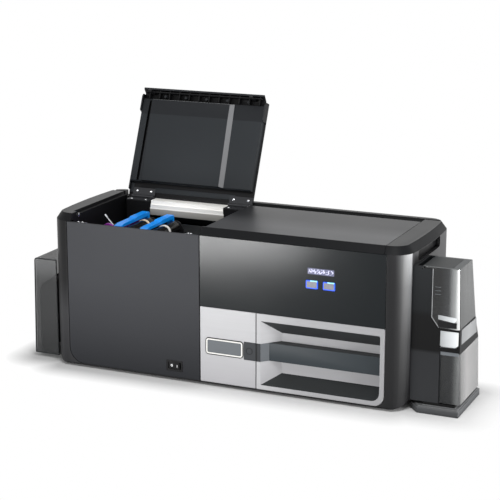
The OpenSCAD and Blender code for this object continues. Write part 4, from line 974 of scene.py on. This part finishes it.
# A pale strip on the field's front edge: a painted highlight.
Shape().box(-199.5, -58.6, 20.7, 21.5, FIELD_Z - 0.15, FIELD_Z + 0.6).finish(
    "field_front_edge", "lid", "strip_grey", "edge_line", FOLD)
Shape().frame(circle(-67, 28, 3.0), circle(-67, 28, 2.1), "z", FIELD_Z - 0.2, FIELD_Z + 0.4).finish(
    "field_ring", "lid", "strip_grey", "lid_slope", FOLD)
Shape().box(-174, -28, 168.5, 177, SKIN_Z - 1.0, SKIN_Z + 0.2, 0.3).finish(
    "rear_flange", "lid", "graphite_plastic", "lid_inner", FOLD)
Shape().box(-221.2, -213.5, 162, 179, SKIN_Z - 1.0, SKIN_Z + 0.2, 0.3).finish(
    "left_flange", "lid", "graphite_plastic", "lid_inner", FOLD)
row("lid_bosses", Shape().turned([(0, 239), (2.2, 239), (2.4, SKIN_Z), (0, SKIN_Z)], (-180, 14, 0), "z", 20),
    5, (38, 0, 0), "lid", "lid_outer", FOLD)
print("lid details set")

# %% [markdown]
# ## Inside the bay
#
# The rolls of film have pale cores, of which a ring shows beside each lift-out handle, and a purple
# wheel stands at the end of the take-up spool. Small bright screws hold the catches in the corners,
# the chassis bar has a folded edge, and each handle has a rear leg.

# %% Inside the bay
SPOOL_Z = 211.5
Shape().turned([(0, 116), (11.4, 116), (11.4, 121), (0, 121)], (-156.6, 0, SPOOL_Z), "y").finish(
    "cream_ring", "supply_1", "cream_film", "cream")
Shape().turned([(0, 94), (11.4, 94), (11.4, 99), (0, 99)], (-108.6, 0, SPOOL_Z), "y").finish(
    "white_ring", "supply_2", "white_film", "white")
wheel = [(0, 57), (11.2, 57), (12, 58), (12, 61), (11.2, 62), (0, 62)]
Shape().turned(wheel, (-188.5, 0, 214.5), "y").finish(
    "spool_wheel", "cartridge_1", "purple_plastic", "purple")
Shape().drawn([(164.4, 220.5), (164.4, 231), (168.5, 244), (186, 244), (186, 242.5), (169.6, 242.5),
               (165.6, 231), (165.6, 220.5)], "x", -169, -35.5).finish(
    "bar_fold", "casing", "pale_steel", "pale_steel")
for body, leg_x, leg_y in (("cartridge_1", -174.0, 142.5), ("cartridge_2", -126.0, 136.5)):
    Shape().box(leg_x, leg_x + 6.4, leg_y, leg_y + 6, 206, 224, 0.5).finish(
        body + "_handle_leg", body, "blue_plastic", "blue")
head = [(0, 237), (1.6, 237), (1.6, 238.2), (1.1, 238.9), (0, 239)]
for side, first_x, step in (("left", -212.5, 7.2), ("right", -20.5, 4.6)):
    Shape().box(first_x - 2.5, first_x + step + 2.5, 3.6, 7.2, 235, 237.2, 0.3).finish(
        side + "_catch_tab", "casing", "bright_steel", "bright")
    row(side + "_catch_screws", Shape().turned(head, (first_x, 5.4, 0), "z", 20), 2, (step, 0, 0),
        "casing", "bright")
Shape().box(-225.6, -224.2, 26.6, 30.2, 240.4, 246.4, 0.3).finish(
    "rim_strike", "casing", "bright_steel", "bright")
print("bay details set")

# %% [markdown]
# ## Hopper details
#
# The doors are clear smoke mouldings, and a thin line follows each parting line: pale on the upper
# door, a painted highlight, and dark on the lower. Thin plates stand for what shows through clear
# plastic, a black plate below the weight's lip is a painted shadow, dark walls stand behind the card
# well, and three short scale marks sit on the upper door.

# %% Hopper details
DOOR_Y = 24.0
LINE = 0.9
# A pale line on the upper door's parting line: a painted highlight.
Shape().drawn([(361.2, 219), (361.2, 146.4), (372.0, 131.6), (372.0 + LINE, 132.2), (361.2 + LINE, 146.8),
               (361.2 + LINE, 219)], "y", DOOR_Y - 0.15, DOOR_Y + 0.5).finish(
    "upper_door_line", "upper_door", "smoke_plastic", "edge_line")
Shape().box(376.2, 376.2 + LINE, DOOR_Y - 0.15, DOOR_Y + 0.5, 16, 93).finish(
    "lower_door_line", "lower_door", "smoke_plastic", "dark_edge")
row("scale_marks", Shape().box(365.5, 374.5, DOOR_Y - 0.1, DOOR_Y + 0.2, 192, 192.7), 3, (0, 0, -5.4),
    "upper_door", "badge")
Shape().drawn(rounded(346, 390, 30, 85, 4), "z", 220.8, 221.15).finish(
    "door_top_inset", "upper_door", "smoke_plastic", "smoke_inset")
lip = [(371.5, 144.6), (396, 141.4), (399.2, 145.4), (399.2, 149.0), (371.5, 151.0)]
Shape().drawn(lip, "y", 23.0, 23.85, 0.3).finish("weight_lip", "weight", "pale_plastic", "window")
Shape().box(371.5, 399.5, 23.4, 23.85, 133, 141.5).finish(
    "door_shadow", "upper_door", "smoke_plastic", "black")
Shape().drawn([(375.5, 104.8), (398, 104.2), (402.6, 107.5), (402.6, 127.6), (375.5, 127.6)], "y", 23.1, 24.3,
              0.3).finish("feed_window", "casing", "pale_plastic", "window")
Shape().drawn([(32, 107.5), (113, 104.6), (108, 128), (32, 130)], "x", 404.0, 405.15).finish(
    "side_window", "casing", "smoke_plastic", "side_window")
Shape().box(376.6, 403.6, 23.6, 24.1, 91.2, 96.3).finish(
    "low_door_rim", "lower_door", "smoke_plastic", "badge")
Shape().box(362.5, 396, 82.5, 84.0, 100, 214).finish(
    "card_wall", "casing", "black_plastic", "black")
Shape().box(379, 399, 60, 61.5, 18, 92).finish(
    "low_wall", "casing", "black_plastic", "recess")
print("hopper details set")

# %% Left bin edges
bin_outer = [(-308.9, 6.8), (-306.0, 163.0), (-304.6, 165.8), (-302.0, 167.0), (-265.2, 167.0), (-265.2, 6.8)]
bin_inner = [(-307.0, 8.6), (-304.2, 162.6), (-303.4, 164.4), (-301.6, 165.2), (-266.2, 165.2), (-266.2, 8.6)]
Shape().frame(bin_outer, bin_inner, "y", 20.85, 22.6).finish(
    "bin_edge", "casing", "smoke_plastic", "dark_edge")
print("bin edges set")

# %% [markdown]
# ## Studio
#
# The object stands on a white sweep. A long lamp low on the left shows in the gloss panel as a glow
# that fades to the right. A soft box high in front lights the fronts, one overhead lights the tops, a
# low strip lights the right side, and a narrow spot reaches into the open bay. The white background
# is in the floor and in the world, not in more light: near the object the floor keeps its shadow,
# and further out it is white.

# %% Floor and world
def away_from(tree, low, high):
    """How far a point of the floor lies outside a footprint, in metres."""
    split = tree.add("ShaderNodeSeparateXYZ", None, {0: tree.place()})
    gaps = []
    for axis in (0, 1):
        middle, half = (low[axis] + high[axis]) / 2, (high[axis] - low[axis]) / 2
        gaps.append(((split.out(axis) - middle).absolute() - half).highest(0.0))
    squares = gaps[0] * gaps[0] + gaps[1] * gaps[1]
    return squares.maths("SQRT", squares)


def floor_finish(colour, footprints, near, far, gloss_far):
    """Plain and shadowed round the footprints, white further out, where mirrors see it too."""
    tree = Tree("floor_white")
    away = None
    for low, high in footprints:
        gap = away_from(tree, low, high)
        away = gap if away is None else away.lowest(gap)
    rays = tree.add("ShaderNodeLightPath")
    seen = ((away - near) / (far - near)).highest(0.0).lowest(1.0) * rays.out("Is Camera Ray")
    clear = rays.out("Is Glossy Ray").highest(rays.out("Is Transmission Ray"))
    mirrored = ((away - near) / (gloss_far - near)).highest(0.0).lowest(1.0) * clear
    diffuse = tree.add("ShaderNodeBsdfDiffuse", None, {"Color": colour}).out(0)
    white = tree.add("ShaderNodeEmission", None, {"Color": (1.0, 1.0, 1.0), "Strength": 1.0}).out(0)
    mixed = tree.add("ShaderNodeMixShader", None, {0: seen.highest(mirrored), 1: diffuse, 2: white})
    return tree.close(mixed.out(0))


def flat_mesh(name, points, material):
    mesh = bpy.data.meshes.new(name)
    mesh.from_pydata(points, [], [tuple(range(len(points)))])
    mesh.materials.append(material)
    made = bpy.data.objects.new(name, mesh)
    bpy.context.scene.collection.objects.link(made)
    return made


FLOOR_HALF = 6.0
SHADOW_NEAR, SHADOW_FAR, MIRROR_FAR = 0.015, 0.06, 0.6
prints = [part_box(name) for name in ("base_tray", "hopper_base", "card_chute")]
floor = flat_mesh("floor", [(-FLOOR_HALF, -FLOOR_HALF, 0), (FLOOR_HALF, -FLOOR_HALF, 0),
                            (FLOOR_HALF, FLOOR_HALF, 0), (-FLOOR_HALF, FLOOR_HALF, 0)],
                  floor_finish((0.9, 0.9, 0.9), prints, SHADOW_NEAR, SHADOW_FAR, MIRROR_FAR))

SKY_LIGHT = 0.25
WHITE = (1.0, 1.0, 1.0)
studio = Tree("studio", bpy.data.worlds.new("studio"))
bpy.context.scene.world = studio.owner
paths = studio.add("ShaderNodeLightPath")
mirrors = paths.out("Is Glossy Ray").highest(paths.out("Is Transmission Ray"))
sky = studio.add("ShaderNodeBackground", None, {"Color": WHITE, "Strength": SKY_LIGHT}).out(0)
backdrop = studio.add("ShaderNodeBackground", None, {"Color": WHITE, "Strength": 1.0}).out(0)
blend = studio.add("ShaderNodeMixShader", None, {
    0: paths.out("Is Camera Ray").highest(mirrors), 1: sky, 2: backdrop}).out(0)
studio.close(blend, "ShaderNodeOutputWorld")
print("floor and world ready")


# %% Lamps
def hang(light, place, aim):
    """Hang a light at a place in millimetres from the seam, turned towards another."""
    made = bpy.data.objects.new(light.name, light)
    bpy.context.scene.collection.objects.link(made)
    made.location = at(*place)
    made.rotation_euler = (made.location - at(*aim)).to_track_quat("Z", "Y").to_euler()
    return made


def lamp(name, place, aim, width, height, watts):
    """A flat soft lamp, with its width and height in metres."""
    light = bpy.data.lights.new(name, "AREA")
    light.shape = "RECTANGLE"
    light.size = width
    light.size_y = height
    light.energy = watts
    hang(light, place, aim).visible_camera = False


lamp("glow_lamp", (-290, -620, 78), (20, 0, 238), 0.4, 0.08, 3.4)
lamp("front_lamp", (420, -480, 820), (0, 40, 160), 0.5, 0.3, 4.2)
lamp("top_lamp", (40, 500, 1500), (40, 60, 100), 1.0, 0.6, 4.0)
lamp("right_lamp", (980, -60, 92), (330, 15, 230), 0.7, 0.1, 7.0)

spot = bpy.data.lights.new("bay_lamp", "SPOT")
spot.energy = 45.0
spot.spot_size = math.radians(8.0)
spot.spot_blend = 0.6
spot.shadow_soft_size = 0.08
hang(spot, (200, -900, 1200), (-110, 140, 238))

bpy.context.scene.view_settings.view_transform = "Standard"
print("studio lit")
